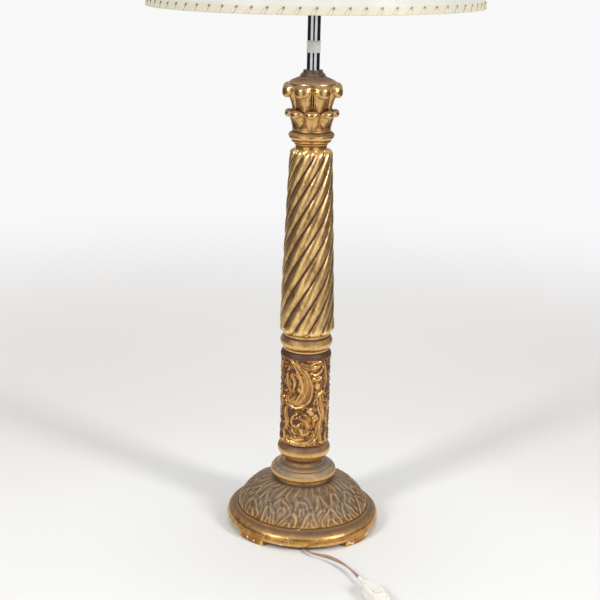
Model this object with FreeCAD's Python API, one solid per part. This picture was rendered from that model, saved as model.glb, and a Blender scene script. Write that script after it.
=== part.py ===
import FreeCAD, Part
import math
import os

# Carved and gilded candlestick floor lamp: a turned wooden column on a round domed base,
# held together by one threaded tube, with a laced parchment shade and an inline switch.
# Millimetres.  Origin on the floor in the lamp's own axis, +Z up, -Y the front.

V = FreeCAD.Vector
UP = V(0, 0, 1)
ORIGIN = V(0, 0, 0)

# ---------------------------------------------------------------- driving dimensions
# base
FOOT_H = 6.5            # bracket feet under the rim
FOOT_SPAN = 27.0        # degrees of the rim that one foot takes
FOOT_TURN = 48.0        # degrees from the front to the first foot's middle
FOOT_COUNT = 4
FOOT_DEPTH = 22.0       # how far in from the rim a foot reaches
RIM_R = 123.5           # widest radius of the base
RIM_H = 24.5            # thickness of the rim board
RIM_TOP_R = 106.0       # where the rim meets the dome
RECESS_R = 50.0         # turned recess under the rim board
RECESS_H = 15.0
DOME_NECK_R = 47.0
DOME_H = 51.5           # dome from the rim's top to its neck's top
DOME_SHOULDER = 46.0    # height of the carved dome above the rim
# column, every height measured along the axis
DISC_R = 52.7
DISC_H = 23.0
TORUS_R = 42.8
TORUS_H = 35.0
DRUM_R = 40.0           # ground of the carving
DRUM_END_R = 37.5
DRUM_H = 158.0
MIDRING_R = 41.7
MIDRING_H = 28.0
SHAFT_TOP_R = 33.2
SHAFT_LOW_R = 43.8
SHAFT_H = 293.0
REED_COUNT = 11
REED_DEPTH = 3.6
REED_TWIST = 284.0      # degrees, counter-clockwise as the reeds rise
REED_START = -108.5     # polar angle of one reed's crown at the foot of the shaft
REED_END_DROP = 8.5     # how far the reed ends round over
SHAFT_SECTIONS = 15
COLLAR_R = 35.4
COLLAR_H = 30.0
CAPITAL_H = 79.0
CAPITAL_TOP_R = 19.0
BELL_R = 31.0
UPPER_LEAF_R = 48.3
LOWER_LEAF_R = 42.6
LEAF_COUNT = 8
# joints between the turned pieces
TENON_R = 15.0
TENON_H = 9.0
TENON_GAP = 0.25
SEAT_GAP = 0.02         # glue line between two turned pieces
# threaded tube and its fittings
ROD_R = 5.0             # M10 x 1 tube
ROD_BORE_R = 4.0
WOOD_BORE_R = 5.4
NUT_AF = 17.0
NUT_H = 6.0
WASHER_R = 17.0
WASHER_T = 1.6
RISER_R = 10.1          # bright tube between the capital and the lampholder
RISER_WALL = 1.0
RISER_H = 114.0
RISER_COLLAR_R = 19.4
RISER_COLLAR_H = 9.5
FIT_GAP = 0.05          # sliding fit on the threaded tube
GRIP_FRONT = 64.0       # front face of the cord grip, from the axis
GRIP_L = 9.0
GRIP_W = 26.0
GRIP_SCREW_R = 1.3
GRIP_SCREW_X = 8.5
GRIP_SCREW_TOP = 14.0   # height to which the screws reach into the rim board
GRIP_HEAD_R = 2.5
GRIP_HEAD_H = 1.3
GRIP_FLOOR_GAP = 0.45   # underside of the grip above the floor
INNER_FLEX_D = 3.2
INNER_BEND = 14.0
# lampholder, E27
HOLDER_R = 19.8
HOLDER_CAP_H = 22.0
HOLDER_SHELL_H = 36.0
HOLDER_WALL = 1.6
RING_R = 28.0
RING_H = 4.0
# bulb
BULB_R = 30.0
BULB_H = 78.0
CAP_R = 13.2
CAP_H = 24.0
# shade
SHADE_BOTTOM_R = 250.0
SHADE_TOP_R = 205.0
SHADE_H = 300.0
SHADE_BOTTOM_Z = 832.0
SKIN_T = 0.8
WIRE_R = 2.0
ARM_R = 2.0
ARM_COUNT = 3
ARM_KNEE_R = 58.0       # where an arm turns up from level to the slope
ARM_BEND_LEG = 18.0
FITTER_R = 33.0         # stands out past the clamping rings, so that the arms clear them
FITTER_T = 1.5
FITTER_RISE = 14.0      # fitter above the foot of the threaded shell
ARM_BITE = 0.8          # how far a welded end sinks into its ring
WIRE_INSET = 5.0        # middle of each wire ring from the edge of the skin
SHADE_GAP = 0.3         # running clearance of the fitter on the lampholder
STITCH_COUNT = 72
STITCH_H = 9.0
STITCH_W = 2.4
STITCH_LEAN = 6.0       # how far round the edge a stitch leans over its height
THONG_T = 1.0
THONG_LIFT = 0.05       # thong's back clear of the skin
# flex, switch and plug
CORD_D = 4.6
CORD_Z = 2.9            # height of the cord's middle where it lies on the floor
TURN_STEP = 6.8         # from one turn of the coil to the next
COIL_R = 35.0           # middle of the turns
COIL_TURNS = 3          # in each of two layers
LAYER_STEP = 5.4
SWITCH_L = 66.0
SWITCH_W = 25.0
SWITCH_H = 19.0
ROCKER_L = 20.0
ROCKER_W = 11.0
ROCKER_GAP = 0.4        # clear all round the rocker in its window
ROCKER_TILT = 8.0       # degrees each way from level
PLUG_L = 36.0
PLUG_W = 35.5
PLUG_H = 14.0
PIN_R = 2.0
PIN_L = 19.0
PIN_SPREAD = 19.0
PIN_ROOT = 8.0          # length of a pin inside the plug


# ---------------------------------------------------------------- helpers
def edge(a, b):
    return Part.LineSegment(V(*a), V(*b)).toShape()


def at_angle(radius, angle, z):
    return V(radius * math.cos(angle), radius * math.sin(angle), z)


def turned(outline):
    """Solid of revolution about Z.  The outline is a closed list of (r, z) corners; a corner
    written as ((r, z), (r, z)) is the middle and the end of an arc."""
    edges = []
    last = outline[0]
    for item in outline[1:] + [outline[0]]:
        if isinstance(item[0], tuple):
            middle, end = item
            arc = Part.Arc(V(last[0], 0, last[1]), V(middle[0], 0, middle[1]), V(end[0], 0, end[1]))
            edges.append(arc.toShape())
            last = end
        elif (V(last[0], last[1], 0) - V(item[0], item[1], 0)).Length > 1e-6:
            edges.append(edge((last[0], 0, last[1]), (item[0], 0, item[1])))
            last = item
    face = Part.Face(Part.Wire(edges))
    return face.revolve(ORIGIN, UP, 360)


def tube(outer, inner, low, high):
    body = Part.makeCylinder(outer, high - low, V(0, 0, low))
    return body.cut(Part.makeCylinder(inner, high - low + 2, V(0, 0, low - 1)))


def polar(shape, count, start=0.0):
    copies = []
    for index in range(count):
        copy = shape.copy()
        copy.rotate(ORIGIN, UP, start + 360.0 * index / count)
        copies.append(copy)
    return copies


def with_tenon(body, foot_z):
    """Adds the round tenon that seats in the piece below."""
    return body.fuse(Part.makeCylinder(TENON_R, TENON_H + 1, V(0, 0, foot_z - TENON_H)))


def with_socket(body, top_z):
    depth = TENON_H + 0.5
    return body.cut(Part.makeCylinder(TENON_R + TENON_GAP, depth + 5, V(0, 0, top_z - depth)))


def bored(body):
    return body.cut(Part.makeCylinder(WOOD_BORE_R, 1200, V(0, 0, -10)))


def corner_arc(start, corner, end):
    """Arc that leaves start towards corner and arrives at end from it; both legs are equal."""
    leg = (start - corner).Length
    a = (start - corner) * (1 / leg)
    b = (end - corner) * (1 / leg)
    u = a + b
    if u.Length < 1e-9:
        return Part.LineSegment(start, end).toShape(), None
    u.normalize()
    cos_half = a.dot(u)
    if cos_half < 1e-4:
        return Part.LineSegment(start, end).toShape(), None
    radius = leg * math.sqrt(1 - cos_half ** 2) / cos_half
    middle = corner + u * (leg / cos_half - radius)
    return Part.Arc(start, middle, end).toShape(), radius


def cord_path(points):
    """Straight runs joined by tangent arcs, each as large as its two runs allow."""
    pts = [V(*p) for p in points]
    edges = []
    radii = []
    here = pts[0]
    for i in range(1, len(pts) - 1):
        before = pts[i - 1] - pts[i]
        after = pts[i + 1] - pts[i]
        leg = 0.45 * min(before.Length, after.Length)
        start = pts[i] + before * (leg / before.Length)
        end = pts[i] + after * (leg / after.Length)
        edges.append(Part.LineSegment(here, start).toShape())
        arc, radius = corner_arc(start, pts[i], end)
        edges.append(arc)
        radii.append(radius)
        here = end
    edges.append(Part.LineSegment(here, pts[-1]).toShape())
    return Part.Wire(edges), radii


def swept(wire, start, direction, name):
    circle = Part.Wire(Part.Circle(start, direction, CORD_D / 2).toShape())
    solid = wire.makePipeShell([circle], True, False)
    expected = math.pi * CORD_D ** 2 / 4 * wire.Length
    print("%s: length %.0f mm, volume %.4f of section times length"
          % (name, wire.Length, solid.Volume / expected))
    return solid


def biarc(p, tp, q, tq):
    """Two tangent arcs from p (leaving along tp) to q (arriving along tq)."""
    v = q - p
    t = tp + tq
    denominator = 2 * (1 - tp.dot(tq))
    if denominator < 1e-9:
        d = v.Length ** 2 / (4 * v.dot(tq))
    else:
        d = (-v.dot(t) + math.sqrt(v.dot(t) ** 2 + denominator * v.Length ** 2)) / denominator
    first = p + tp * d
    second = q - tq * d
    middle = (first + second) * 0.5
    return [corner_arc(p, first, middle)[0], corner_arc(middle, second, q)[0]]


# ---------------------------------------------------------------- stations along the axis
RIM_TOP_Z = FOOT_H + RIM_H
DOME_TOP_Z = RIM_TOP_Z + DOME_H
DISC_TOP_Z = DOME_TOP_Z + DISC_H
TORUS_TOP_Z = DISC_TOP_Z + TORUS_H
DRUM_TOP_Z = TORUS_TOP_Z + DRUM_H
MIDRING_TOP_Z = DRUM_TOP_Z + MIDRING_H
SHAFT_TOP_Z = MIDRING_TOP_Z + SHAFT_H
COLLAR_TOP_Z = SHAFT_TOP_Z + COLLAR_H
CAPITAL_TOP_Z = COLLAR_TOP_Z + CAPITAL_H
RISER_LOW_Z = CAPITAL_TOP_Z + 3.0
RISER_TOP_Z = RISER_LOW_Z + RISER_H
NUT_SEAT_Z = FOOT_H + RECESS_H
HOLDER_Z = RISER_TOP_Z + 2.0


# ---------------------------------------------------------------- wooden base
def base_rim():
    z0 = FOOT_H
    z1 = RIM_TOP_Z
    body = turned([
        (0, z0 + RECESS_H), (RECESS_R, z0 + RECESS_H), (RECESS_R, z0), (RIM_R - 5.5, z0),
        ((RIM_R - 1.2, z0 + 2.2), (RIM_R, z0 + 8.5)),
        ((RIM_R - 3.0, z0 + 17.0), (RIM_R - 10.0, z0 + 21.5)),
        (RIM_TOP_R + 3.0, z1), (0, z1)])
    foot_r = RIM_R - 1.2
    inner_r = foot_r - FOOT_DEPTH
    block = turned([(inner_r, 0), (foot_r - 3.0, 0), (foot_r, z0 + 4), (inner_r, z0 + 4)])
    wedge_r = RIM_R + 20
    half = math.radians(FOOT_SPAN / 2)
    low = (wedge_r * math.cos(half), wedge_r * math.sin(half))
    wedge = Part.Face(Part.makePolygon([
        ORIGIN, V(low[0], -low[1], 0), V(low[0], low[1], 0), ORIGIN])).extrude(V(0, 0, z0 + 4))
    foot = block.common(wedge)
    for one in polar(foot, FOOT_COUNT, FOOT_TURN - 90):
        body = body.fuse(one)
    for side in (-1, 1):
        pilot = V(side * GRIP_SCREW_X, -GRIP_FRONT + GRIP_L / 2, z0 - 1)
        body = body.cut(Part.makeCylinder(GRIP_SCREW_R + SEAT_GAP, GRIP_SCREW_TOP + 0.5 - pilot.z, pilot))
    return bored(body).removeSplitter()


def base_dome():
    """Carved dome: a full shoulder that falls steeply to the rim, under a hollow neck."""
    z0 = RIM_TOP_Z + SEAT_GAP
    fall = 1.6
    outline = [V(RIM_TOP_R - 2.0, 0, z0)]
    steps = 8
    for i in range(steps + 1):
        a = math.pi / 2 * (1 - i / steps)
        r = DOME_NECK_R + 3 + (RIM_TOP_R - 2.0 - DOME_NECK_R - 3) * math.sin(a) ** (2 / fall)
        z = z0 + DOME_SHOULDER * math.cos(a) ** (2 / fall)
        outline.append(V(r, 0, z))
    crown = Part.BSplineCurve()
    crown.interpolate(outline[1:])
    top = V(DOME_NECK_R, 0, RIM_TOP_Z + DOME_H)
    neck = V(DOME_NECK_R, 0, outline[-1].z)
    edges = [crown.toShape(), Part.LineSegment(outline[-1], neck).toShape(),
             Part.LineSegment(neck, top).toShape(),
             Part.LineSegment(top, V(0, 0, top.z)).toShape(),
             Part.LineSegment(V(0, 0, top.z), V(0, 0, z0)).toShape(),
             Part.LineSegment(V(0, 0, z0), outline[1]).toShape()]
    body = Part.Face(Part.Wire(edges)).revolve(ORIGIN, UP, 360)
    body = with_socket(body, top.z)
    return bored(body)


def base_disc():
    z0 = DOME_TOP_Z + SEAT_GAP
    z1 = DISC_TOP_Z
    body = turned([
        (0, z0), (DISC_R - 5.0, z0), ((DISC_R - 0.8, z0 + 3.5), (DISC_R, z0 + 9.0)),
        ((DISC_R - 1.5, z0 + 14.0), (DISC_R - 6.0, z0 + 17.0)),
        (DISC_R - 8.5, z0 + 17.6), (DISC_R - 9.5, z0 + 19.0), (34.0, z1 - 1.5), (32.0, z1), (0, z1)])
    return bored(with_socket(with_tenon(body, z0), z1))


def base_torus():
    z0 = DISC_TOP_Z + SEAT_GAP
    z1 = TORUS_TOP_Z
    body = turned([
        (0, z0), (31.5, z0), ((29.6, z0 + 4.0), (30.5, z0 + 9.0)), (35.5, z0 + 10.0), (36.5, z0 + 12.0),
        ((TORUS_R, z0 + 23.0), (36.0, z1)), (0, z1)])
    return bored(with_socket(with_tenon(body, z0), z1))


def carved_drum():
    z0 = TORUS_TOP_Z + SEAT_GAP
    z1 = DRUM_TOP_Z
    body = turned([
        (0, z0), (DRUM_END_R - 1.5, z0), ((DRUM_R - 0.6, z0 + 3.0), (DRUM_R, z0 + 12.0)),
        (DRUM_R, z1 - 14.0), ((DRUM_R - 0.8, z1 - 4.0), (DRUM_END_R - 1.5, z1)), (0, z1)])
    return bored(with_socket(with_tenon(body, z0), z1))


def mid_ring():
    z0 = DRUM_TOP_Z + SEAT_GAP
    z1 = MIDRING_TOP_Z
    r = 36.2
    body = turned([
        (0, z0), (r, z0), (r, z0 + 4.0), (r + 2.5, z0 + 6.0),
        ((MIDRING_R, z0 + 13.5), (r + 2.5, z0 + 21.0)), (r, z0 + 22.5), (r, z1), (0, z1)])
    return bored(with_socket(with_tenon(body, z0), z1))


def shaft_radius(t):
    """Outer radius of the reeds at the share t of the shaft's height; a slow taper with a belly."""
    return SHAFT_LOW_R + (SHAFT_TOP_R - SHAFT_LOW_R) * t ** 1.12


def reeded_shaft():
    """Eleven round reeds wound about a tapered core, rounded over at both ends."""
    z0 = MIDRING_TOP_Z + SEAT_GAP
    z1 = SHAFT_TOP_Z
    step = 2 * math.pi / REED_COUNT
    sections = []
    for i in range(SHAFT_SECTIONS + 1):
        t = i / SHAFT_SECTIONS
        z = z0 + (z1 - z0) * t
        crown = shaft_radius(t)
        valley = crown - REED_DEPTH
        turn = math.radians(REED_START + REED_TWIST * (0.86 * t + 0.14 * t * t))
        arcs = []
        for k in range(REED_COUNT):
            a = turn + k * step
            before = at_angle(valley, a - step / 2, z)
            after = at_angle(valley, a + step / 2, z)
            arcs.append(Part.Arc(before, at_angle(crown, a, z), after).toShape())
        sections.append(Part.Wire(arcs))
    reeds = Part.makeLoft(sections, True, False)
    low = shaft_radius(0)
    high = shaft_radius(1)
    drop = REED_END_DROP
    envelope = turned([
        (0, z0), (low - drop, z0), ((low - 2.0, z0 + 3.5), (low + 1.0, z0 + 2.2 * drop)),
        (high + 1.0, z1 - 2.2 * drop), ((high - 1.6, z1 - 3.8), (high - drop + 1, z1)), (0, z1)])
    body = reeds.common(envelope)
    return bored(with_socket(with_tenon(body, z0), z1))


def capital_collar():
    z0 = SHAFT_TOP_Z + SEAT_GAP
    z1 = COLLAR_TOP_Z
    body = turned([
        (0, z0), (24.4, z0), (24.4, z0 + 5.5), (26.3, z0 + 7.0), (26.3, z0 + 9.0), (30.9, z0 + 11.0),
        (30.9, z0 + 14.0), (32.0, z0 + 15.0), ((COLLAR_R, z0 + 20.0), (32.0, z0 + 25.0)),
        (29.8, z0 + 26.5), (29.8, z1), (0, z1)])
    return bored(with_socket(with_tenon(body, z0), z1))


def leaf(side, front_half_width, low, high, widest):
    """One leaf of the capital: its side view, extruded across and trimmed to its front view."""
    curve = Part.BSplineCurve()
    curve.interpolate([V(r, 0, z) for r, z in side])
    root = V(side[0][0] - 9, 0, side[0][1])
    back = V(side[-1][0] - 4, 0, side[-1][1])
    face = Part.Face(Part.Wire([
        curve.toShape(), Part.LineSegment(V(side[-1][0], 0, side[-1][1]), back).toShape(),
        Part.LineSegment(back, root).toShape(),
        Part.LineSegment(root, V(side[0][0], 0, side[0][1])).toShape()]))
    w = front_half_width
    slab = face.extrude(V(0, 2 * w, 0))
    slab.translate(V(0, -w, 0))
    foot_w = 0.55 * w
    top = high + 4
    front = Part.Face(Part.Wire([
        edge((0, -foot_w, low - 2), (0, foot_w, low - 2)),
        Part.Arc(V(0, foot_w, low - 2), V(0, 0.72 * w, (low + widest) / 2), V(0, w, widest)).toShape(),
        Part.Arc(V(0, w, widest), V(0, 0, top), V(0, -w, widest)).toShape(),
        Part.Arc(V(0, -w, widest), V(0, -0.72 * w, (low + widest) / 2), V(0, -foot_w, low - 2)).toShape()]))
    reach = max(r for r, z in side)
    rounded = Part.makeCylinder(reach, top - low + 12, V(0, 0, low - 6))
    return slab.common(front.extrude(V(reach + 10, 0, 0))).common(rounded)


def capital():
    """Bell with two tiers of eight leaves; the upper tier curls out under the top board."""
    z0 = COLLAR_TOP_Z + SEAT_GAP
    z1 = CAPITAL_TOP_Z
    bell = turned([
        (0, z0), (29.8, z0), (29.8, z0 + 4.0), (BELL_R - 1.0, z0 + 22.0),
        ((BELL_R, z0 + 38.0), (BELL_R + 6.0, z0 + 52.0)), (BELL_R + 10.5, z0 + 61.0),
        (BELL_R + 9.5, z0 + 65.0), (38.0, z0 + 71.5), (CAPITAL_TOP_R, z1), (0, z1)])
    u = UPPER_LEAF_R
    upper = leaf([
        (BELL_R + 0.5, z0 + 34.0), (BELL_R + 3.5, z0 + 42.0), (u - 8.5, z0 + 50.5), (u - 5.0, z0 + 50.0),
        (u - 1.2, z0 + 53.5), (u, z0 + 58.5), (u - 2.5, z0 + 64.5), (u - 9.0, z0 + 68.5)],
        16.0, z0 + 34.0, z0 + 68.0, z0 + 57.0)
    r = LOWER_LEAF_R
    lower = leaf([
        (BELL_R - 0.2, z0 + 3.0), (BELL_R + 1.8, z0 + 9.0), (r - 6.0, z0 + 15.0), (r - 1.6, z0 + 15.5),
        (r, z0 + 20.0), (r - 2.2, z0 + 25.0), (r - 8.5, z0 + 28.0)],
        13.5, z0 + 3.0, z0 + 27.0, z0 + 18.0)
    step = 360.0 / LEAF_COUNT
    leaves = polar(upper, LEAF_COUNT, -90 + step / 2) + polar(lower, LEAF_COUNT, -90)
    body = bell.fuse(leaves)
    return bored(with_tenon(body, z0))


# ---------------------------------------------------------------- metal stem
def riser_collar():
    z0 = CAPITAL_TOP_Z + SEAT_GAP
    body = turned([
        (0, z0), (RISER_COLLAR_R, z0), (RISER_COLLAR_R, z0 + 1.8), (RISER_COLLAR_R - 2.6, z0 + 5.0),
        (RISER_COLLAR_R - 4.2, z0 + 5.6), (RISER_COLLAR_R - 4.8, z0 + RISER_COLLAR_H),
        (0, z0 + RISER_COLLAR_H)])
    body = body.cut(Part.makeCylinder(RISER_R + FIT_GAP, 40, V(0, 0, RISER_LOW_Z)))
    return body.cut(Part.makeCylinder(ROD_R + FIT_GAP, 40, V(0, 0, z0 - 5)))


def riser_tube():
    return tube(RISER_R, RISER_R - RISER_WALL, RISER_LOW_Z + 0.02, RISER_TOP_Z)


def riser_cap():
    """Turned plug that centres the top of the bright tube on the threaded tube."""
    z = RISER_TOP_Z
    spigot_r = RISER_R - RISER_WALL - FIT_GAP
    flange_r = RISER_R + 1.2
    body = turned([(0, z - 8), (spigot_r, z - 8), (spigot_r, z + SEAT_GAP), (flange_r, z + SEAT_GAP),
                   (flange_r, HOLDER_Z - SEAT_GAP), (0, HOLDER_Z - SEAT_GAP)])
    return body.cut(Part.makeCylinder(ROD_R + FIT_GAP, 40, V(0, 0, z - 20)))


def tie_rod():
    return tube(ROD_R, ROD_BORE_R, NUT_SEAT_Z - WASHER_T - NUT_H - 3.0, HOLDER_Z + 12.0)


def base_washer():
    return tube(WASHER_R, ROD_R + 0.3, NUT_SEAT_Z - WASHER_T, NUT_SEAT_Z - 0.02)


def base_nut():
    z = NUT_SEAT_Z - WASHER_T - NUT_H
    corner = NUT_AF / 2 / math.cos(math.pi / 6)
    points = [at_angle(corner, math.pi / 3 * k, z) for k in range(7)]
    body = Part.Face(Part.makePolygon(points)).extrude(V(0, 0, NUT_H - 0.02))
    return body.cut(Part.makeCylinder(ROD_R + FIT_GAP, 40, V(0, 0, z - 5)))


# ---------------------------------------------------------------- lampholder and bulb
SHELL_LOW_Z = HOLDER_Z + HOLDER_CAP_H + 3.02


def holder_cap():
    z0 = HOLDER_Z
    z1 = HOLDER_Z + HOLDER_CAP_H
    body = turned([
        (0, z0), (9.0, z0), (9.0, z0 + 5), ((15.5, z0 + 7.0), (HOLDER_R - 1, z0 + 14)),
        (HOLDER_R - 1, z1), (HOLDER_R - 1 - HOLDER_WALL, z1), (HOLDER_R - 1 - HOLDER_WALL, z0 + 15),
        ((14.0, z0 + 9.5), (8.5, z0 + 8)), (0, z0 + 8)])
    return body.cut(Part.makeCylinder(ROD_R + FIT_GAP, 60, V(0, 0, z0 - 5)))


def holder_insulator():
    """Moulded disc that carries the contacts, standing on the cap's shelf."""
    z0 = HOLDER_Z + HOLDER_CAP_H - 6
    r = HOLDER_R - 1 - HOLDER_WALL - 0.1
    body = tube(r, 3.5, z0, z0 + 9)
    for side in (-1, 1):
        body = body.cut(Part.makeBox(4.4, 5.4, 8, V(side * 9.0 - 2.2, -2.7, z0 - 2)))
    return body


def holder_shell():
    """Threaded outer shell that the shade rings run on."""
    z0 = SHELL_LOW_Z
    z1 = z0 + HOLDER_SHELL_H
    inner = CAP_R + FIT_GAP
    return turned([(inner, z0), (HOLDER_R, z0), (HOLDER_R, z1 - 1), (HOLDER_R - 1, z1), (inner, z1)])


def terminal_blocks():
    z0 = HOLDER_Z + HOLDER_CAP_H - 6
    blocks = []
    for side in (-1, 1):
        blocks.append(Part.makeBox(4.0, 5.0, 5.5, V(side * 9.0 - 2.0, -2.5, z0 - 0.02)))
    return Part.makeCompound(blocks)


def centre_contact():
    """Sprung brass tongue under the bulb's end contact."""
    z = HOLDER_Z + HOLDER_CAP_H + 3.02
    t = 0.6
    rise = 5.3
    outline = Part.Face(Part.makePolygon([
        V(-10, 0, z), V(-2, 0, z), V(3, 0, z + rise), V(7, 0, z + rise), V(7, 0, z + rise + t),
        V(2.6, 0, z + rise + t), V(-2.4, 0, z + t), V(-10, 0, z + t), V(-10, 0, z)]))
    strip = outline.extrude(V(0, 6, 0))
    strip.translate(V(0, -3, 0))
    return strip


FITTER_Z = SHELL_LOW_Z + FITTER_RISE


def shade_ring(z, grips):
    """Clamping ring with a knurled edge."""
    body = tube(RING_R, HOLDER_R + FIT_GAP, z, z + RING_H)
    notch = Part.makeCylinder(1.2, RING_H + 2, V(RING_R + 0.4, 0, z - 1))
    return body.cut(Part.makeCompound(polar(notch, grips)))


def bulb_cap():
    z0 = HOLDER_Z + HOLDER_CAP_H + 9.0
    return turned([
        (0, z0), (4.5, z0), (4.5, z0 + 1.2), (9.0, z0 + 3.5), (CAP_R, z0 + 5.5), (CAP_R, z0 + CAP_H),
        (CAP_R - 0.6, z0 + CAP_H), (CAP_R - 0.6, z0 + 6.0), (8.6, z0 + 4.2), (0, z0 + 4.2)])


def bulb_glass():
    z0 = HOLDER_Z + HOLDER_CAP_H + 9.0 + CAP_H - 6.0
    r = CAP_R - 0.65
    top = z0 + BULB_H + 8
    centre = top - BULB_R
    widest = V(BULB_R, 0, centre)
    curve = Part.BSplineCurve()
    curve.interpolate([
        V(r, 0, z0), V(r, 0, z0 + 8), V(r + 4.5, 0, z0 + 24), V(BULB_R - 3.5, 0, centre - 15), widest])
    half_way = BULB_R * math.sin(math.pi / 4)
    round_top = Part.Arc(widest, V(half_way, 0, centre + half_way), V(0, 0, top)).toShape()
    edges = [curve.toShape(), round_top, edge((0, 0, top), (0, 0, z0)), edge((0, 0, z0), (r, 0, z0))]
    return Part.Face(Part.Wire(edges)).revolve(ORIGIN, UP, 360)


# ---------------------------------------------------------------- shade
SHADE_TOP_Z = SHADE_BOTTOM_Z + SHADE_H


def shade_skin():
    lo = SHADE_BOTTOM_R
    hi = SHADE_TOP_R
    t = SKIN_T
    return turned([
        (lo - t, SHADE_BOTTOM_Z), (lo, SHADE_BOTTOM_Z), (hi, SHADE_TOP_Z), (hi - t, SHADE_TOP_Z)])


def wire_ring(radius, z):
    return Part.makeTorus(radius, WIRE_R, V(0, 0, z))


SLOPE = (SHADE_BOTTOM_R - SHADE_TOP_R) / SHADE_H
BOTTOM_RING_Z = SHADE_BOTTOM_Z + WIRE_INSET
TOP_RING_Z = SHADE_TOP_Z - WIRE_INSET
BOTTOM_RING_R = SHADE_BOTTOM_R - SLOPE * WIRE_INSET - SKIN_T - WIRE_R - 0.1
TOP_RING_R = SHADE_TOP_R + SLOPE * WIRE_INSET - SKIN_T - WIRE_R - 0.1


def fitter_ring():
    return tube(FITTER_R, HOLDER_R + SHADE_GAP, FITTER_Z, FITTER_Z + FITTER_T)


def shade_arms():
    """Three round wires from the bottom ring, cranked up to the fitter ring."""
    low = V(BOTTOM_RING_R - WIRE_R + ARM_BITE / 2, 0, BOTTOM_RING_Z)
    knee = V(ARM_KNEE_R, 0, FITTER_Z + FITTER_T / 2)
    end = V(FITTER_R - ARM_BITE, 0, knee.z)
    a = knee + (low - knee) * (ARM_BEND_LEG / (low - knee).Length)
    b = knee + (end - knee) * (ARM_BEND_LEG / (end - knee).Length)
    arc = corner_arc(a, knee, b)[0]
    wire = Part.Wire([Part.LineSegment(low, a).toShape(), arc, Part.LineSegment(b, end).toShape()])
    section = Part.Wire(Part.Circle(low, knee - low, ARM_R).toShape())
    arm = wire.makePipeShell([section], True, False)
    return Part.makeCompound(polar(arm, ARM_COUNT, 90))


def lacing(z, radius, flip):
    """Whip stitches of flat thong round the shade's edge; flip is 1 upwards from z, -1 downwards."""
    lean = STITCH_LEAN * flip
    rise = STITCH_H * flip
    a = V(radius + THONG_LIFT, -lean / 2, z)
    b = V(radius + THONG_LIFT - SLOPE * rise, lean / 2, z + rise)
    across = V(0, STITCH_W, 0)
    quad = Part.Face(Part.makePolygon([a, a + across, b + across, b, a]))
    stitch = quad.extrude(V(THONG_T, 0, 0))
    return Part.makeCompound(polar(stitch, STITCH_COUNT))


# ---------------------------------------------------------------- flex, switch, plug
EXIT = (0.0, -GRIP_FRONT, CORD_Z)
SPLIT_Z = CORD_Z + 5.6  # where the switch's halves meet and the flex enters
FRONT_ROUTE = [EXIT, (0.8, -92.0, CORD_Z), (4.5, -119.0, CORD_Z + 0.6), (18.0, -138.0, CORD_Z + 4.0),
               (42.0, -149.0, CORD_Z + 6.0), (65.0, -170.0, CORD_Z + 6.0), (82.0, -198.0, SPLIT_Z),
               (97.0, -234.0, SPLIT_Z)]
SWITCH_NOSE = V(*FRONT_ROUTE[-1])
SWITCH_DIR = (SWITCH_NOSE - V(*FRONT_ROUTE[-2])).normalize()
SWITCH_TAIL = SWITCH_NOSE + SWITCH_DIR * SWITCH_L
SWITCH_MID = SWITCH_NOSE + SWITCH_DIR * (SWITCH_L / 2)
COIL_X = 190.0
COIL_Y = -345.0
COIL_START = 195.0      # polar angle at which the cord joins the coil


def on_switch(shape):
    """Places a shape, made about the origin with +X towards the tail, where the switch lies."""
    placed = shape.copy()
    angle = math.degrees(math.atan2(SWITCH_DIR.y, SWITCH_DIR.x))
    placed.rotate(ORIGIN, UP, angle)
    placed.translate(V(SWITCH_MID.x, SWITCH_MID.y, 0))
    return placed


def coil_curve():
    """Points and tangents of the coil: in along the lower layer, up, and out along the upper."""
    stations = []
    half_turns = 4 * COIL_TURNS
    per_half = 4
    outer = COIL_R + TURN_STEP * (COIL_TURNS - 1) / 2
    count = half_turns * per_half

    def place(s):
        turn = s / (2 * per_half)
        inward = min(turn, 2 * COIL_TURNS - turn)
        r = outer - TURN_STEP * (inward - 0.25)
        climb = min(max((turn - COIL_TURNS + 0.25) / 0.5, 0.0), 1.0)
        z = CORD_Z + LAYER_STEP * (3 * climb ** 2 - 2 * climb ** 3)
        a = math.radians(COIL_START) + 2 * math.pi * turn
        return V(COIL_X + r * math.cos(a), COIL_Y + r * math.sin(a), z)
    small = 1e-3
    for s in range(count + 1):
        direction = place(s + small) - place(s - small)
        stations.append((place(s), direction.normalize()))
    return stations


def coil_wire():
    stations = coil_curve()
    edges = []
    for (p, tp), (q, tq) in zip(stations, stations[1:]):
        edges += biarc(p, tp, q, tq)
    return Part.Wire(edges), stations


def least_gap(stations):
    """Least clear distance between two turns, measured on the stations."""
    points = [p for p, t in stations]
    least = 1e9
    for i, a in enumerate(points):
        for b in points[i + 5:]:
            least = min(least, (a - b).Length)
    return least - CORD_D


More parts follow.
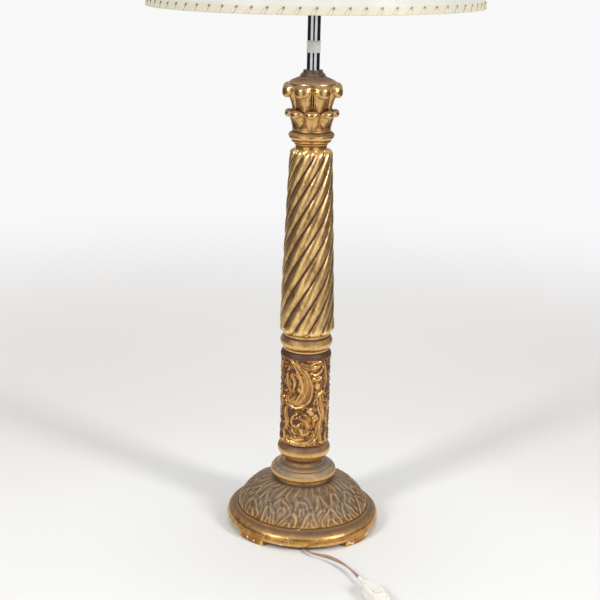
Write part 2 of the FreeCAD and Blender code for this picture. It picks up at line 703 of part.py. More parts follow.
def switch_half(upper):
    """Half of the moulded switch housing: rounded ends in plan, with a hollow for the contacts."""
    half_l = SWITCH_L / 2
    half_w = SWITCH_W / 2
    nose = 5.0
    shoulder = half_l - 12.0

    def flank(way, side):
        """Rounded shoulder on one flank of one end."""
        return Part.Arc(V(way * half_l, side * nose, 0), V(way * (half_l - 3.0), side * (nose + 2.5), 0),
                        V(way * shoulder, side * half_w, 0)).toShape()
    wire = Part.Wire(Part.__sortEdges__([
        flank(-1, -1), edge((-half_l, -nose, 0), (-half_l, nose, 0)),
        flank(-1, 1), edge((-shoulder, half_w, 0), (shoulder, half_w, 0)),
        flank(1, 1), edge((half_l, nose, 0), (half_l, -nose, 0)),
        flank(1, -1), edge((shoulder, -half_w, 0), (-shoulder, -half_w, 0))]))
    low = SPLIT_Z + SEAT_GAP / 2 if upper else 0.0
    high = SWITCH_H if upper else SPLIT_Z - SEAT_GAP / 2
    body = Part.Face(wire).extrude(V(0, 0, high - low))
    body.translate(V(0, 0, low))
    rim = [e for e in body.Edges if abs(e.CenterOfMass.z - (high if upper else low)) < 0.01]
    body = body.makeFillet(2.5, rim)
    wall = 2.0
    hollow_l = SWITCH_L - 32
    corner = V(-hollow_l / 2, wall - half_w, wall)
    body = body.cut(Part.makeBox(hollow_l, SWITCH_W - 2 * wall, SWITCH_H - 2 * wall, corner))
    if upper:
        window_l = ROCKER_L + 2 * ROCKER_GAP
        window_w = ROCKER_W + 2 * ROCKER_GAP
        window = Part.makeBox(window_l, window_w, SWITCH_H, V(-window_l / 2, -window_w / 2, SPLIT_Z))
        body = body.cut(window)
    for side in (-1, 1):
        body = body.cut(Part.makeCylinder(1.55, 60, V(side * (half_l - 11.0), 6.5 * side, -20)))
    return on_switch(body)


ROCKER_PIVOT_Z = SWITCH_H - 4.5


def switch_rocker():
    """Rocker with a V-shaped top, tilted to its off side about the pin across the switch."""
    half = ROCKER_L / 2
    top = SWITCH_H + 2.2
    rise = half * math.tan(math.radians(ROCKER_TILT))
    low = ROCKER_PIVOT_Z - 4.0
    outline = Part.Face(Part.makePolygon([
        V(-half + 1.2, 0, low), V(half - 1.2, 0, low), V(half - 0.6, 0, top - 0.6), V(0, 0, top - rise),
        V(-half + 0.6, 0, top - 0.6), V(-half + 1.2, 0, low)]))
    body = outline.extrude(V(0, ROCKER_W, 0))
    body.translate(V(0, -ROCKER_W / 2, 0))
    bore = Part.makeCylinder(1.06, ROCKER_W + 4, V(0, -ROCKER_W / 2 - 2, ROCKER_PIVOT_Z), V(0, 1, 0))
    body = body.cut(bore)
    body.rotate(V(0, 0, ROCKER_PIVOT_Z), V(0, 1, 0), -ROCKER_TILT)
    return on_switch(body)


def switch_pin():
    length = SWITCH_W - 4.0 - 0.1
    return on_switch(Part.makeCylinder(1.0, length, V(0, -length / 2, ROCKER_PIVOT_Z), V(0, 1, 0)))


def switch_contacts():
    """Two brass terminal blocks on the floor of the lower half."""
    blocks = []
    for side in (-1, 1):
        block = Part.makeBox(7, 6, 5, V(side * 11 - 3.5, side * 4.5 - 3, 2.02))
        blocks.append(block)
    return on_switch(Part.makeCompound(blocks))


def switch_screws():
    screws = []
    for side in (-1, 1):
        x = side * (SWITCH_L / 2 - 11.0)
        shank = Part.makeCylinder(1.5, 13.0, V(x, 6.5 * side, 2.6))
        screws.append(shank)
    return on_switch(Part.makeCompound(screws))


def flex_front():
    wire, radii = cord_path(FRONT_ROUTE)
    print("front route radii:", " ".join("%.0f" % r for r in radii))
    return swept(wire, V(*EXIT), V(*FRONT_ROUTE[1]) - V(*EXIT), "flex_front")


def tail_route(entry, direction):
    start = SWITCH_TAIL
    second = start + SWITCH_DIR * 22.0 - V(0, 0, 3.0)
    return [tuple(start), tuple(second), tuple(entry - direction * 20.0), tuple(entry)]


def flex_tail():
    stations = coil_curve()
    wire, radii = cord_path(tail_route(*stations[0]))
    print("tail route radii:", " ".join("%.0f" % r for r in radii))
    route = tail_route(*stations[0])
    return swept(wire, V(*route[0]), V(*route[1]) - V(*route[0]), "flex_tail")


def flex_coil():
    wire, stations = coil_wire()
    print("coil least gap %.2f mm" % least_gap(stations))
    return swept(wire, stations[0][0], stations[0][1], "flex_coil")


def lead_route():
    """From the coil's upper end out over its turns and down to the plug."""
    end, direction = coil_curve()[-1]
    across = V(direction.y, -direction.x, 0)
    start = end
    return [tuple(start), tuple(start + direction * 22.0),
            tuple(start + direction * 42.0 + across * 4.0 + V(0, 0, -0.8)),
            tuple(start + direction * 62.0 + across * 12.0 + V(0, 0, PLUG_H / 2 - start.z))]


def flex_lead():
    route = lead_route()
    wire, radii = cord_path(route)
    print("lead route radii:", " ".join("%.0f" % r for r in radii))
    return swept(wire, V(*route[0]), V(*route[1]) - V(*route[0]), "flex_lead")


def on_plug(shape):
    route = lead_route()
    nose = V(*route[-1])
    way = V(*route[-1]) - V(*route[-2])
    placed = shape.copy()
    placed.rotate(ORIGIN, UP, math.degrees(math.atan2(way.y, way.x)))
    placed.translate(V(nose.x, nose.y, 0))
    return placed


def plug_body():
    """Flat two-pin plug: narrow at the cord, full width at the pins."""
    half = PLUG_W / 2 - 3.5
    nose = 4.2
    grip = 20.0
    wire = Part.Wire([
        edge((0, -nose, 0), (0, nose, 0)),
        Part.Arc(V(0, nose, 0), V(grip / 2, 7.5, 0), V(grip, half, 0)).toShape(),
        edge((grip, half, 0), (PLUG_L, half, 0)), edge((PLUG_L, half, 0), (PLUG_L, -half, 0)),
        edge((PLUG_L, -half, 0), (grip, -half, 0)),
        Part.Arc(V(grip, -half, 0), V(grip / 2, -7.5, 0), V(0, -nose, 0)).toShape()])
    body = Part.Face(wire).extrude(V(0, 0, PLUG_H))
    top_edges = [e for e in body.Edges if abs(e.CenterOfMass.z - PLUG_H) < 0.01 and e.Length > 2 * nose + 0.6]
    body = body.makeFillet(3.0, top_edges)
    for side in (-1, 1):
        root = V(PLUG_L - PIN_ROOT, side * PIN_SPREAD / 2, PLUG_H / 2)
        body = body.cut(Part.makeCylinder(PIN_R + SEAT_GAP, PLUG_L, root, V(1, 0, 0)))
    return on_plug(body)


def plug_pins():
    pins = []
    for side in (-1, 1):
        root = V(PLUG_L - PIN_ROOT, side * PIN_SPREAD / 2, PLUG_H / 2)
        pins.append(Part.makeCylinder(PIN_R, PIN_L + PIN_ROOT, root, V(1, 0, 0)))
    return on_plug(Part.makeCompound(pins))


def inner_flex():
    """The flex inside: from the grip under the base, up the threaded tube to the lampholder."""
    top = HOLDER_Z + HOLDER_CAP_H - 8.0
    bend = V(0, 0, CORD_Z)
    a = bend - V(0, INNER_BEND, 0)
    b = bend + V(0, 0, INNER_BEND)
    wire = Part.Wire([Part.LineSegment(V(*EXIT), a).toShape(), corner_arc(a, bend, b)[0],
                      Part.LineSegment(b, V(0, 0, top)).toShape()])
    section = Part.Wire(Part.Circle(V(*EXIT), V(0, 1, 0), INNER_FLEX_D / 2).toShape())
    return wire.makePipeShell([section], True, False)


def cord_grip():
    """Saddle that clamps the flex to the underside of the base, just inside the rim."""
    low = GRIP_FLOOR_GAP
    block = Part.makeBox(GRIP_W, GRIP_L, FOOT_H - low - SEAT_GAP, V(-GRIP_W / 2, -GRIP_FRONT, low))
    block = block.makeFillet(2.0, [e for e in block.Edges if abs(e.tangentAt(e.FirstParameter).z) > 0.9])
    tunnel_foot = V(0, -GRIP_FRONT - 5, CORD_Z)
    body = block.cut(Part.makeCylinder(INNER_FLEX_D / 2 + SEAT_GAP, GRIP_L + 10, tunnel_foot, V(0, 1, 0)))
    for side in (-1, 1):
        x = side * GRIP_SCREW_X
        y = -GRIP_FRONT + GRIP_L / 2
        body = body.cut(Part.makeCylinder(GRIP_SCREW_R + FIT_GAP, 20, V(x, y, -2)))
        sink = low + 0.2 + GRIP_HEAD_H + SEAT_GAP
        body = body.cut(Part.makeCylinder(GRIP_HEAD_R + 0.1, sink, V(x, y, 0)))
    return body


def grip_screws():
    screws = []
    for side in (-1, 1):
        x = side * GRIP_SCREW_X
        y = -GRIP_FRONT + GRIP_L / 2
        head_z = GRIP_FLOOR_GAP + 0.2
        head = Part.makeCylinder(GRIP_HEAD_R, GRIP_HEAD_H, V(x, y, head_z))
        shank = Part.makeCylinder(GRIP_SCREW_R, GRIP_SCREW_TOP - head_z, V(x, y, head_z))
        screws.append(head.fuse(shank))
    return Part.makeCompound(screws)


def parts():
    made = {
        "base_rim": base_rim(),
        "base_dome": base_dome(),
        "base_disc": base_disc(),
        "base_torus": base_torus(),
        "carved_drum": carved_drum(),
        "mid_ring": mid_ring(),
        "reeded_shaft": reeded_shaft(),
        "capital_collar": capital_collar(),
        "capital": capital(),
        "riser_collar": riser_collar(),
        "riser_tube": riser_tube(),
        "riser_cap": riser_cap(),
        "tie_rod": tie_rod(),
        "base_washer": base_washer(),
        "base_nut": base_nut(),
        "holder_cap": holder_cap(),
        "holder_insulator": holder_insulator(),
        "terminal_blocks": terminal_blocks(),
        "centre_contact": centre_contact(),
        "holder_shell": holder_shell(),
        "shade_ring_lower": shade_ring(FITTER_Z - SHADE_GAP - RING_H, 30),
        "shade_ring_upper": shade_ring(FITTER_Z + FITTER_T + SHADE_GAP, 30),
        "bulb_cap": bulb_cap(),
        "bulb_glass": bulb_glass(),
        "shade_skin": shade_skin(),
        "shade_bottom_ring": wire_ring(BOTTOM_RING_R, BOTTOM_RING_Z),
        "shade_top_ring": wire_ring(TOP_RING_R, TOP_RING_Z),
        "fitter_ring": fitter_ring(),
        "shade_arms": shade_arms(),
        "lacing_bottom": lacing(SHADE_BOTTOM_Z, SHADE_BOTTOM_R, 1),
        "lacing_top": lacing(SHADE_TOP_Z, SHADE_TOP_R, -1),
        "flex_front": flex_front(),
        "switch_lower": switch_half(False),
        "switch_upper": switch_half(True),
        "switch_rocker": switch_rocker(),
        "switch_pin": switch_pin(),
        "switch_contacts": switch_contacts(),
        "switch_screws": switch_screws(),
        "flex_tail": flex_tail(),
        "flex_coil": flex_coil(),
        "flex_lead": flex_lead(),
        "plug_body": plug_body(),
        "plug_pins": plug_pins(),
        "inner_flex": inner_flex(),
        "cord_grip": cord_grip(),
        "grip_screws": grip_screws(),
    }
    return made


def main():
    os.makedirs("parts", exist_ok=True)
    triangles = 0
    for name, shape in parts().items():
        shape.exportStep(os.path.join("parts", name + ".step"))
        count = len(shape.tessellate(0.3)[1])
        triangles += count
        box = shape.BoundBox
        print("%-18s valid %s solids %d volume %.1f cm3 z %.1f..%.1f r %.1f tri %d" % (
            name, shape.isValid(), len(shape.Solids), shape.Volume / 1000, box.ZMin, box.ZMax,
            max(abs(box.XMin), abs(box.XMax)), count))
    print("triangles", triangles)


main()
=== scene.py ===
import bpy
import math
import numpy as np
from functools import partialmethod
from mathutils import Matrix, Vector


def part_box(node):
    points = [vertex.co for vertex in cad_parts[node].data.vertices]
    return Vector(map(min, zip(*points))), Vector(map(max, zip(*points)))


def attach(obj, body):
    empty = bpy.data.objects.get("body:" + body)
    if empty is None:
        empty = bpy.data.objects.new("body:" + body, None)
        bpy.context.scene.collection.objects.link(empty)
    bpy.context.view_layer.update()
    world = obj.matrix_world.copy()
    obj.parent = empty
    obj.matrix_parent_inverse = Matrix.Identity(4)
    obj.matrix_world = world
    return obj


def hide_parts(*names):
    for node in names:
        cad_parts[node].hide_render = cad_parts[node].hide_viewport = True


# Looks of the carved and gilded candlestick floor lamp, in metres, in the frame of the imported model:
# origin on the floor in the lamp's own axis, +Z up, -Y the front.

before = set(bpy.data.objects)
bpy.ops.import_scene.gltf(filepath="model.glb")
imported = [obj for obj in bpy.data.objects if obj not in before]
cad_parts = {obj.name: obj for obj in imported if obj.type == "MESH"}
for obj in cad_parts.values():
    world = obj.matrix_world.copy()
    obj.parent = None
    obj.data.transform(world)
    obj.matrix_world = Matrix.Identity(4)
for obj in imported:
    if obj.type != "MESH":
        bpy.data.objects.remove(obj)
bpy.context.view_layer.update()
MM = 0.001

# ---- sizes of the new pieces, in millimetres
BORE_R = 5.4  # hole of the threaded tube through every wooden piece
TENON_H = 9.0  # tenon under each turned piece
FINE_STEP = 0.25  # spacing at which the corners of an outline are rounded
ROW_STEP = 0.75  # spacing of the rows along a turned outline
EASE = 0.55  # how far worn corners of a turned outline are rounded
FOOT_H = 6.5
FOOT_IN_R = 100.3
FOOT_SPAN = math.radians(27.0)
FOOT_TURN = math.radians(-42.0)
FOOT_SLANT = math.radians(2.6)
RIM_R = 123.4
SCAR_R = 106.8  # white chip in the bead on the rim, a little left of the front
SCAR_TURN = math.radians(-92.4)
NECK_R = 50.0  # from the neck to DOME_R the dome is carved
DOME_R = 104.0
DOME_H = 46.0
DOME_LOBES = 17
DOME_VEINS = 2.6  # nested ridges in one lobe
DOME_RELIEF = 1.05
REED_COUNT = 11
REED_DEPTH = 4.6
REED_START = math.radians(-108.5)
REED_TWIST = math.radians(284.0)
REED_TIP = 9.0  # length over which a reed's end rounds over
SHAFT_R = (43.8, 33.2)  # crown of the reeds at the foot and at the top
CORE_R = (35.4, 25.8)  # core past the ends of the reeds
DRUM_R = 40.0
STROKE_RISE = 0.9  # share of a stroke's own height that is cut
GROUND_SINK = 1.75  # how far the ground between the strokes lies under the plain drum
BED_CELL = (9.0, 10.0)  # one small leaf of the drum's bed to each cell
LEAF_REACH = 48.1  # the capital's leaves go no farther from the axis
LEAF_GRID = (44, 28)  # points along one leaf and round it
SKIN_TOP_R = 205.0
SKIN_T = 0.8
SKIN_IN = 0.65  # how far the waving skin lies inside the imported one
HEM_H = 12.5
STITCH_COUNT = 72
STITCH_H = 9.0
STITCH_LEAN = 6.0
THONG_W = 2.4
THONG_T = 1.0
BAND_LOW = 32.0  # paper band above the foot of the bright tube
BAND_H = 18.0
FLEX_W = 5.6  # flat twin flex
FLEX_T = 2.9
FLEX_TURN = 150.0  # length over which the flex twists once about itself
SLEEVE_L = 24.0
SLEEVE_END_R = 3.15


# ---- shapes as arrays
def smooth_step(x):
    """0 below 0, 1 above 1, and 3x^2 - 2x^3 between."""
    x = np.clip(x, 0.0, 1.0)
    return x * x * (3.0 - 2.0 * x)


def circle(count):
    """Angles of a closed ring."""
    return np.linspace(0, 2 * np.pi, count, endpoint=False)


def wrapped(r, a, z):
    """Points r cos a, r sin a, z about the lamp's axis."""
    r, a, z = np.broadcast_arrays(r, a, z)
    return np.stack([r * np.cos(a), r * np.sin(a), z], -1)


def unit(v):
    return v / (np.linalg.norm(v, axis=-1)[..., None] + 1e-12)


def run_of(line):
    """Distance from a line's start to each of its points."""
    return np.concatenate([[0], np.cumsum(np.linalg.norm(np.diff(line, axis=0), axis=1))])


def softened(values, spread, axis, closed):
    """Mean of the neighbours along one axis, weighted by exp(-(steps / spread)^2 / 2)."""
    reach = math.ceil(2.5 * spread)
    weights = np.exp(-0.5 * (np.arange(-reach, reach + 1) / spread) ** 2)
    pad = [(0, 0)] * values.ndim
    pad[axis] = (reach, reach)
    wide = np.moveaxis(np.pad(values, pad, mode="wrap" if closed else "edge"), axis, 0)
    count = values.shape[axis]
    mean = sum(weight * wide[i:i + count] for i, weight in enumerate(weights / weights.sum()))
    return np.moveaxis(mean, 0, axis)


def flowing(points, count):
    """Smooth line through a few points: on each span the cubic whose slope at a point is half the
    step between that point's neighbours."""
    p = np.asarray(points, float)
    ends = np.vstack([2 * p[0] - p[1], p, 2 * p[-1] - p[-2]])
    t = np.linspace(0, len(p) - 1 - 1e-9, count)
    i = t.astype(int)
    f = (t - i)[:, None]
    a, b, c, d = (ends[i + k] for k in range(4))
    return 0.5 * (2 * b + (c - a) * f + (2 * a - 5 * b + 4 * c - d) * f ** 2
                  + (3 * b - a - 3 * c + d) * f ** 3)


def arc_points(start, middle, end, count=24):
    """Points on the circle through three points, from the first to the last."""
    a, b, c = (np.asarray(q, float) for q in (start, middle, end))
    centre = np.linalg.solve(2 * np.array([b - a, c - a]), np.array([b @ b - a @ a, c @ c - a @ a]))
    angles = [math.atan2(q[1] - centre[1], q[0] - centre[0]) for q in (a, b, c)]
    sweep = sum((q - p + math.pi) % (2 * math.pi) - math.pi for p, q in zip(angles, angles[1:]))
    turn = angles[0] + sweep * np.linspace(0, 1, count)
    return centre + np.linalg.norm(a - centre) * np.stack([np.cos(turn), np.sin(turn)], -1)


def outline_rows(foot, outline, top, step=ROW_STEP, ease=EASE, seen_from=0.0):
    """Rows (r, z) in even steps along an outline that starts and ends in the bore, five times as long
    nearer the axis than seen_from, where pieces hide each other.  A corner ((r, z), (r, z)) is the
    middle and the end of an arc.  Corners are worn round by a bell-weighted mean along the line."""
    line = [np.array([(BORE_R, foot)], float)]
    for item in outline + [(BORE_R, top)]:
        if isinstance(item[0], tuple):
            line.append(arc_points(line[-1][-1], *item)[1:])
        else:
            line.append(np.array([item], float))
    line = np.vstack(line)
    run = run_of(line)
    fine = np.linspace(0, run[-1], int(run[-1] / FINE_STEP))
    dense = np.stack([np.interp(fine, run, line[:, k]) for k in (0, 1)], -1)
    dense = softened(dense, ease / FINE_STEP, 0, False)
    share = np.cumsum(np.where(dense[:, 0] < seen_from, 0.2, 1.0)) * fine[1]
    pick = np.linspace(share[0], share[-1], int(share[-1] / step))
    return np.stack([np.interp(pick, share, dense[:, k]) for k in (0, 1)], -1)


def round_about(rows, columns, raised):
    """Surface of revolution, moved along the outline's own normal by the height raised(angle, r, z)."""
    a = circle(columns) + 0 * rows[:, :1]
    r, z = rows[:, :1] + 0 * a, rows[:, 1:] + 0 * a
    slope = unit(np.gradient(rows, axis=0))
    height = raised(a, r, z)
    return wrapped(r + height * slope[:, 1:], a, z - height * slope[:, :1])


def carved_values(points, spread, depth, lift=0.0, closed_rows=True):
    """Relief, from 0 in a hollow to 1 on a crest: how far a point stands out of the surface softened
    over `spread` millimetres, against `depth`.  Also how far its normal, the cross product of the
    steps along the columns and the rows, points up."""
    most = 14.0
    across = np.roll(points, -1, 1) - np.roll(points, 1, 1)
    along = np.roll(points, -1, 0) - np.roll(points, 1, 0) if closed_rows else np.gradient(points, axis=0)
    normals = unit(np.cross(across, along))
    column_step = np.linalg.norm(points[:, 1] - points[:, 0], axis=-1).mean()
    row_step = np.median(np.linalg.norm(np.diff(points, axis=0), axis=-1))
    soft = softened(points, min(spread / column_step, most), 1, True)
    soft = softened(soft, min(spread / row_step, most), 0, closed_rows)
    relief = np.clip(0.5 + ((points - soft) * normals).sum(-1) / depth, 0, 1)
    return np.clip(relief + lift, 0, 1), normals[..., 2]


def ripple(a, z, seed, amount):
    """Hand-cut unevenness: a mean of six waves round and along the piece, with seeded phases."""
    rng = np.random.default_rng(seed)
    waves = 6
    total = 0
    for k in range(waves):
        around = rng.integers(1, 9)
        along = rng.uniform(0.02, 0.16)
        total = total + np.sin(around * a + along * z + rng.uniform(0, 2 * np.pi))
    return amount * total / waves


# ---- meshes
def linked(name, data):
    """New object in the scene."""
    thing = bpy.data.objects.new(name, data)
    bpy.context.collection.objects.link(thing)
    return thing


def mesh_object(name, points, faces, material):
    """New mesh from points in metres."""
    mesh = bpy.data.meshes.new(name)
    mesh.from_pydata(points.reshape(-1, 3).tolist(), [], faces)
    mesh.update()
    mesh.materials.append(material)
    return linked(name, mesh)


def grid_faces(rows, columns, closed_rows=True, first=0):
    """Quads of a grid whose columns close on themselves, and whose rows may."""
    i = first + columns * np.arange(rows if closed_rows else rows - 1)[:, None]
    j = np.arange(columns)
    above = (i - first + columns) % (rows * columns) + first
    right = (j + 1) % columns
    return np.stack([i + j, i + right, above + right, above + j], -1).reshape(-1, 4).tolist()


def capped_faces(rows, columns, first=0):
    """Quads of a grid whose columns close on themselves, with a face over each end."""
    foot = list(range(first, first + columns))
    top = [corner + (rows - 1) * columns for corner in foot]
    return grid_faces(rows, columns, False, first) + [foot[::-1], top]


def new_piece(name, points, faces, material, body, slot, *nodes, **values):
    """Smooth piece from points in metres, in place of the nodes named, with values on its points."""
    piece = mesh_object(name, points, faces, material)
    piece.data.polygons.foreach_set("use_smooth", np.ones(len(faces), bool))
    for key, value in values.items():
        attribute = piece.data.attributes.new(key, "FLOAT", "POINT")
        attribute.data.foreach_set("value", np.ascontiguousarray(value, np.float32).ravel())
    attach(piece, body)
    if nodes:
        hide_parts(*nodes)
    return piece


# ---- shader building
def colour(red, green, blue):
    """Linear colour from the 0 to 255 values in which a colour is usually named."""
    shares = (c / 255.0 for c in (red, green, blue))
    return (*(c / 12.92 if c <= 0.04045 else ((c + 0.055) / 1.055) ** 2.4 for c in shares), 1.0)


class Net:
    """A node tree with short calls for its nodes.  Any input is a number or another node's output."""

    def __init__(self, tree):
        self.tree = tree

    def fill(self, node, inputs):
        for key, value in inputs.items():
            if isinstance(value, bpy.types.NodeSocket):
                self.tree.links.new(value, node.inputs[key])
            else:
                node.inputs[key].default_value = value
        return node

    def put(self, kind, inputs={}, **settings):
        node = self.tree.nodes.new(kind)
        for key, value in settings.items():
            setattr(node, key, value)
        return self.fill(node, inputs)

    def maths(self, operation, first, *others, clamp=False):
        """One operation on the first value and the next, then on the result and each further value."""
        for other in others:
            node = self.put("ShaderNodeMath", {0: first, 1: other}, operation=operation, use_clamp=clamp)
            first = node.outputs[0]
        return first

    plus = partialmethod(maths, "ADD")
    minus = partialmethod(maths, "SUBTRACT")
    times = partialmethod(maths, "MULTIPLY")
    most = partialmethod(maths, "MAXIMUM")
    above = partialmethod(maths, "GREATER_THAN")

    def size(self, value):
        """The value without its sign."""
        return self.put("ShaderNodeMath", {0: value}, operation="ABSOLUTE").outputs[0]

    def spread(self, value, low, high, out_low=0.0, out_high=1.0):
        """Maps low..high to out_low..out_high with soft ends."""
        return self.put("ShaderNodeMapRange", {0: value, 1: low, 2: high, 3: out_low, 4: out_high},
                        interpolation_type="SMOOTHSTEP").outputs[0]

    def mix(self, share, a, b):
        return self.put("ShaderNodeMix", {0: share, 6: a, 7: b}, data_type="RGBA").outputs[2]

    def noise(self, scale, detail=4.0, rough=0.55, stretch=None):
        """Noise over the piece, drawn out upwards where stretch is less than 1."""
        vector = self.place
        if stretch:
            vector = self.put("ShaderNodeMapping", {0: vector, 3: (1.0, 1.0, stretch)}).outputs[0]
        return self.put("ShaderNodeTexNoise", {
            "Vector": vector, "Scale": scale, "Detail": detail, "Roughness": rough}).outputs[0]

    def fact(self, name):
        """A value written on the points of the piece."""
        return self.put("ShaderNodeAttribute", attribute_name=name).outputs["Fac"]

    def seen(self):
        """1 on what is seen directly, in a reflection or through glass, and 0 where it only gives light."""
        rays = self.put("ShaderNodeLightPath").outputs
        return self.most(rays["Is Camera Ray"], rays["Is Glossy Ray"], rays["Is Transmission Ray"])

    def surface(self, inputs, height, strength, distance):
        """Fills the surface shader, its normals bumped by a height, and returns the material."""
        bump = self.put("ShaderNodeBump", {"Height": height, "Strength": strength, "Distance": distance})
        self.fill(self.shader, {**inputs, "Normal": bump.outputs[0]})
        return self.material


def group(name, inputs, outputs):
    """New shader group, its sockets given by kind: its net, its inputs, and its output node."""
    tree = bpy.data.node_groups.new(name, "ShaderNodeTree")
    for way, sockets in (("INPUT", inputs), ("OUTPUT", outputs)):
        for kind, labels in sockets.items():
            for label in labels:
                tree.interface.new_socket(label, in_out=way, socket_type="NodeSocket" + kind)
    net = Net(tree)
    given = net.put("NodeGroupInput").outputs
    net.place = given["Place"]
    return net, given, net.put("NodeGroupOutput")


def finish_net(name):
    """Net of a new material, with its surface shader and the place on the piece."""
    material = bpy.data.materials.new(name)
    material.use_nodes = True
    net = Net(material.node_tree)
    net.material = material
    net.shader = net.tree.nodes["Principled BSDF"]
    net.place = net.put("ShaderNodeTexCoord").outputs["Object"]
    return net


GILT_INPUTS = ("Leaf", "Dust", "Dust From", "Dust To", "Wash", "Grime And Shade", "Worn", "Gloss", "Chips")


def gilding_group():
    """Old water gilding: burnish on the leaf with a painted highlight on the crests, brown bole showing
    through, dark dirt with painted shade in the hollows, a grey-brown wash on what faces up, darker in
    its hollows as painted shade, and small chips down to the white ground."""
    net, given, out = group("gilding", {
        "Vector": ["Place"], "Color": GILT_INPUTS[:2], "Float": ("Relief", "Upward", "Scar") + GILT_INPUTS[2:]},
        {"Color": ["Color"], "Float": ["Roughness", "Metallic", "Height"]})
    relief, leaf, dust, worn = (given[label] for label in ("Relief", "Leaf", "Dust", "Worn"))
    broad = net.noise(26.0, 3.0)
    cloudy = net.noise(95.0, 5.0, 0.62)
    fine = net.noise(620.0, 4.0, 0.6)
    scrape = net.noise(260.0, 3.0, 0.5, 0.22)
    flake = net.noise(120.0, 2.0, 0.45)
    # gold: bright on the crests as burnish with a painted highlight, broken up by the cloudy noise, and scraped
    # down to the bole
    crest = net.plus(relief, net.times(net.minus(cloudy, 0.5), worn))
    rubbed = net.mix(net.spread(broad, 0.35, 0.7), net.mix(0.4, colour(104, 58, 24), leaf), leaf)
    # painted highlight: near-white gold mixed into the burnish on the crests
    burnish_and_highlight = net.mix(0.45, leaf, colour(255, 222, 150))
    gold = net.mix(net.spread(crest, 0.55, 0.85), rubbed, burnish_and_highlight)
    bole = net.mix(cloudy, colour(78, 36, 16), colour(122, 66, 32))
    scraped = net.times(net.spread(scrape, 0.52, 0.70), worn, clamp=True)
    # dirt and painted shade in the hollows
    grime_and_shade = net.mix(fine, colour(50, 26, 12), colour(92, 56, 32))
    # painted shade: where the relief is low the colour goes to dark brown
    hollow = net.times(net.minus(1.0, net.spread(crest, 0.22, 0.52)), given["Grime And Shade"], clamp=True)
    soiled_and_shaded = net.mix(hollow, net.mix(scraped, gold, bole), grime_and_shade)
    # wash of dust and size on the upward faces, with painted shade darker in its hollows
    settled = net.times(net.spread(given["Upward"], given["Dust From"], given["Dust To"]), given["Wash"])
    patchy = net.times(settled, net.spread(broad, 0.3, 0.6, 0.55, 1.0), clamp=True)
    # painted shade: the wash goes darker where the relief is low
    dust_in_painted_shade = net.mix(0.72, dust, colour(38, 22, 12))
    washed_and_shaded = net.mix(patchy, soiled_and_shaded, net.mix(net.spread(crest, 0.32, 0.72), dust_in_painted_shade, dust))
    # chips: sharp small islands on crests only, and the scar
    island = net.above(flake, net.minus(0.80, net.times(given["Chips"], 0.1)))
    chip = net.times(island, net.above(relief, 0.55), net.above(given["Chips"], 0.01))
    chip = net.most(chip, net.above(net.plus(given["Scar"], fine), 1.0))
    covered = net.most(hollow, patchy, chip)
    dull = net.spread(covered, 0.0, 0.8, given["Gloss"], 0.56)
    height = net.plus(net.times(cloudy, 0.5), net.times(fine, 0.15))
    net.fill(out, {
        "Color": net.mix(chip, washed_and_shaded, colour(233, 222, 200)),
        "Metallic": net.times(net.minus(1.0, covered), 0.86, clamp=True),
        "Roughness": net.plus(dull, net.times(net.minus(fine, 0.5), 0.16), clamp=True),
        "Height": net.minus(height, net.times(chip, 0.6))})
    return net.tree


def speckle_group():
    """Two noises, one coarse and one fine, as a tint share, a roughness change and a height."""
    net, given, out = group("speckle", {"Vector": ["Place"], "Float": ["Coarse", "Fine"]},
                            {"Float": ["Tint", "Change", "Height"]})
    coarse = net.noise(given["Coarse"])
    fine = net.noise(given["Fine"], 3.0)
    net.fill(out, {"Tint": net.spread(coarse, 0.3, 0.7), "Change": net.minus(fine, 0.5),
                   "Height": net.plus(net.times(coarse, 0.6), net.times(fine, 0.4))})
    return net.tree


GILDING = gilding_group()
SPECKLE = speckle_group()


def gilt(name, *settings, chips_low=0.0):
    """One gilded finish, its settings in the order of GILT_INPUTS.  Chips may grow to chips_low from 18
    to 6 mm above the floor."""
    net = finish_net(name)
    inputs = dict(zip(GILT_INPUTS, settings), Place=net.place)
    inputs.update({label: net.fact(label.lower()) for label in ("Relief", "Upward", "Scar")})
    if chips_low:
        height = net.put("ShaderNodeSeparateXYZ", {0: net.place}).outputs[2]
        inputs["Chips"] = net.spread(height, 0.006, 0.018, chips_low, inputs["Chips"])
    out = net.put("ShaderNodeGroup", inputs, node_tree=GILDING).outputs
    return net.surface({"Base Color": out["Color"], "Roughness": out["Roughness"],
                        "Metallic": out["Metallic"]}, out["Height"], 0.35, 0.0005)


def plain(name, dark, light, roughness, metallic=0.0, coarse=60.0, fine=900.0, bump=0.15, spread=0.1):
    """Moulded, turned or drawn surface: two close tones, with speckled gloss and height."""
    net = finish_net(name)
    out = net.put("ShaderNodeGroup", {"Place": net.place, "Coarse": coarse, "Fine": fine},
                  node_tree=SPECKLE).outputs
    return net.surface({
        "Base Color": net.mix(out["Tint"], colour(*dark), colour(*light)), "Metallic": metallic,
        "Roughness": net.plus(net.times(out["Change"], spread), roughness, clamp=True)},
        out["Height"], bump, 0.0002)


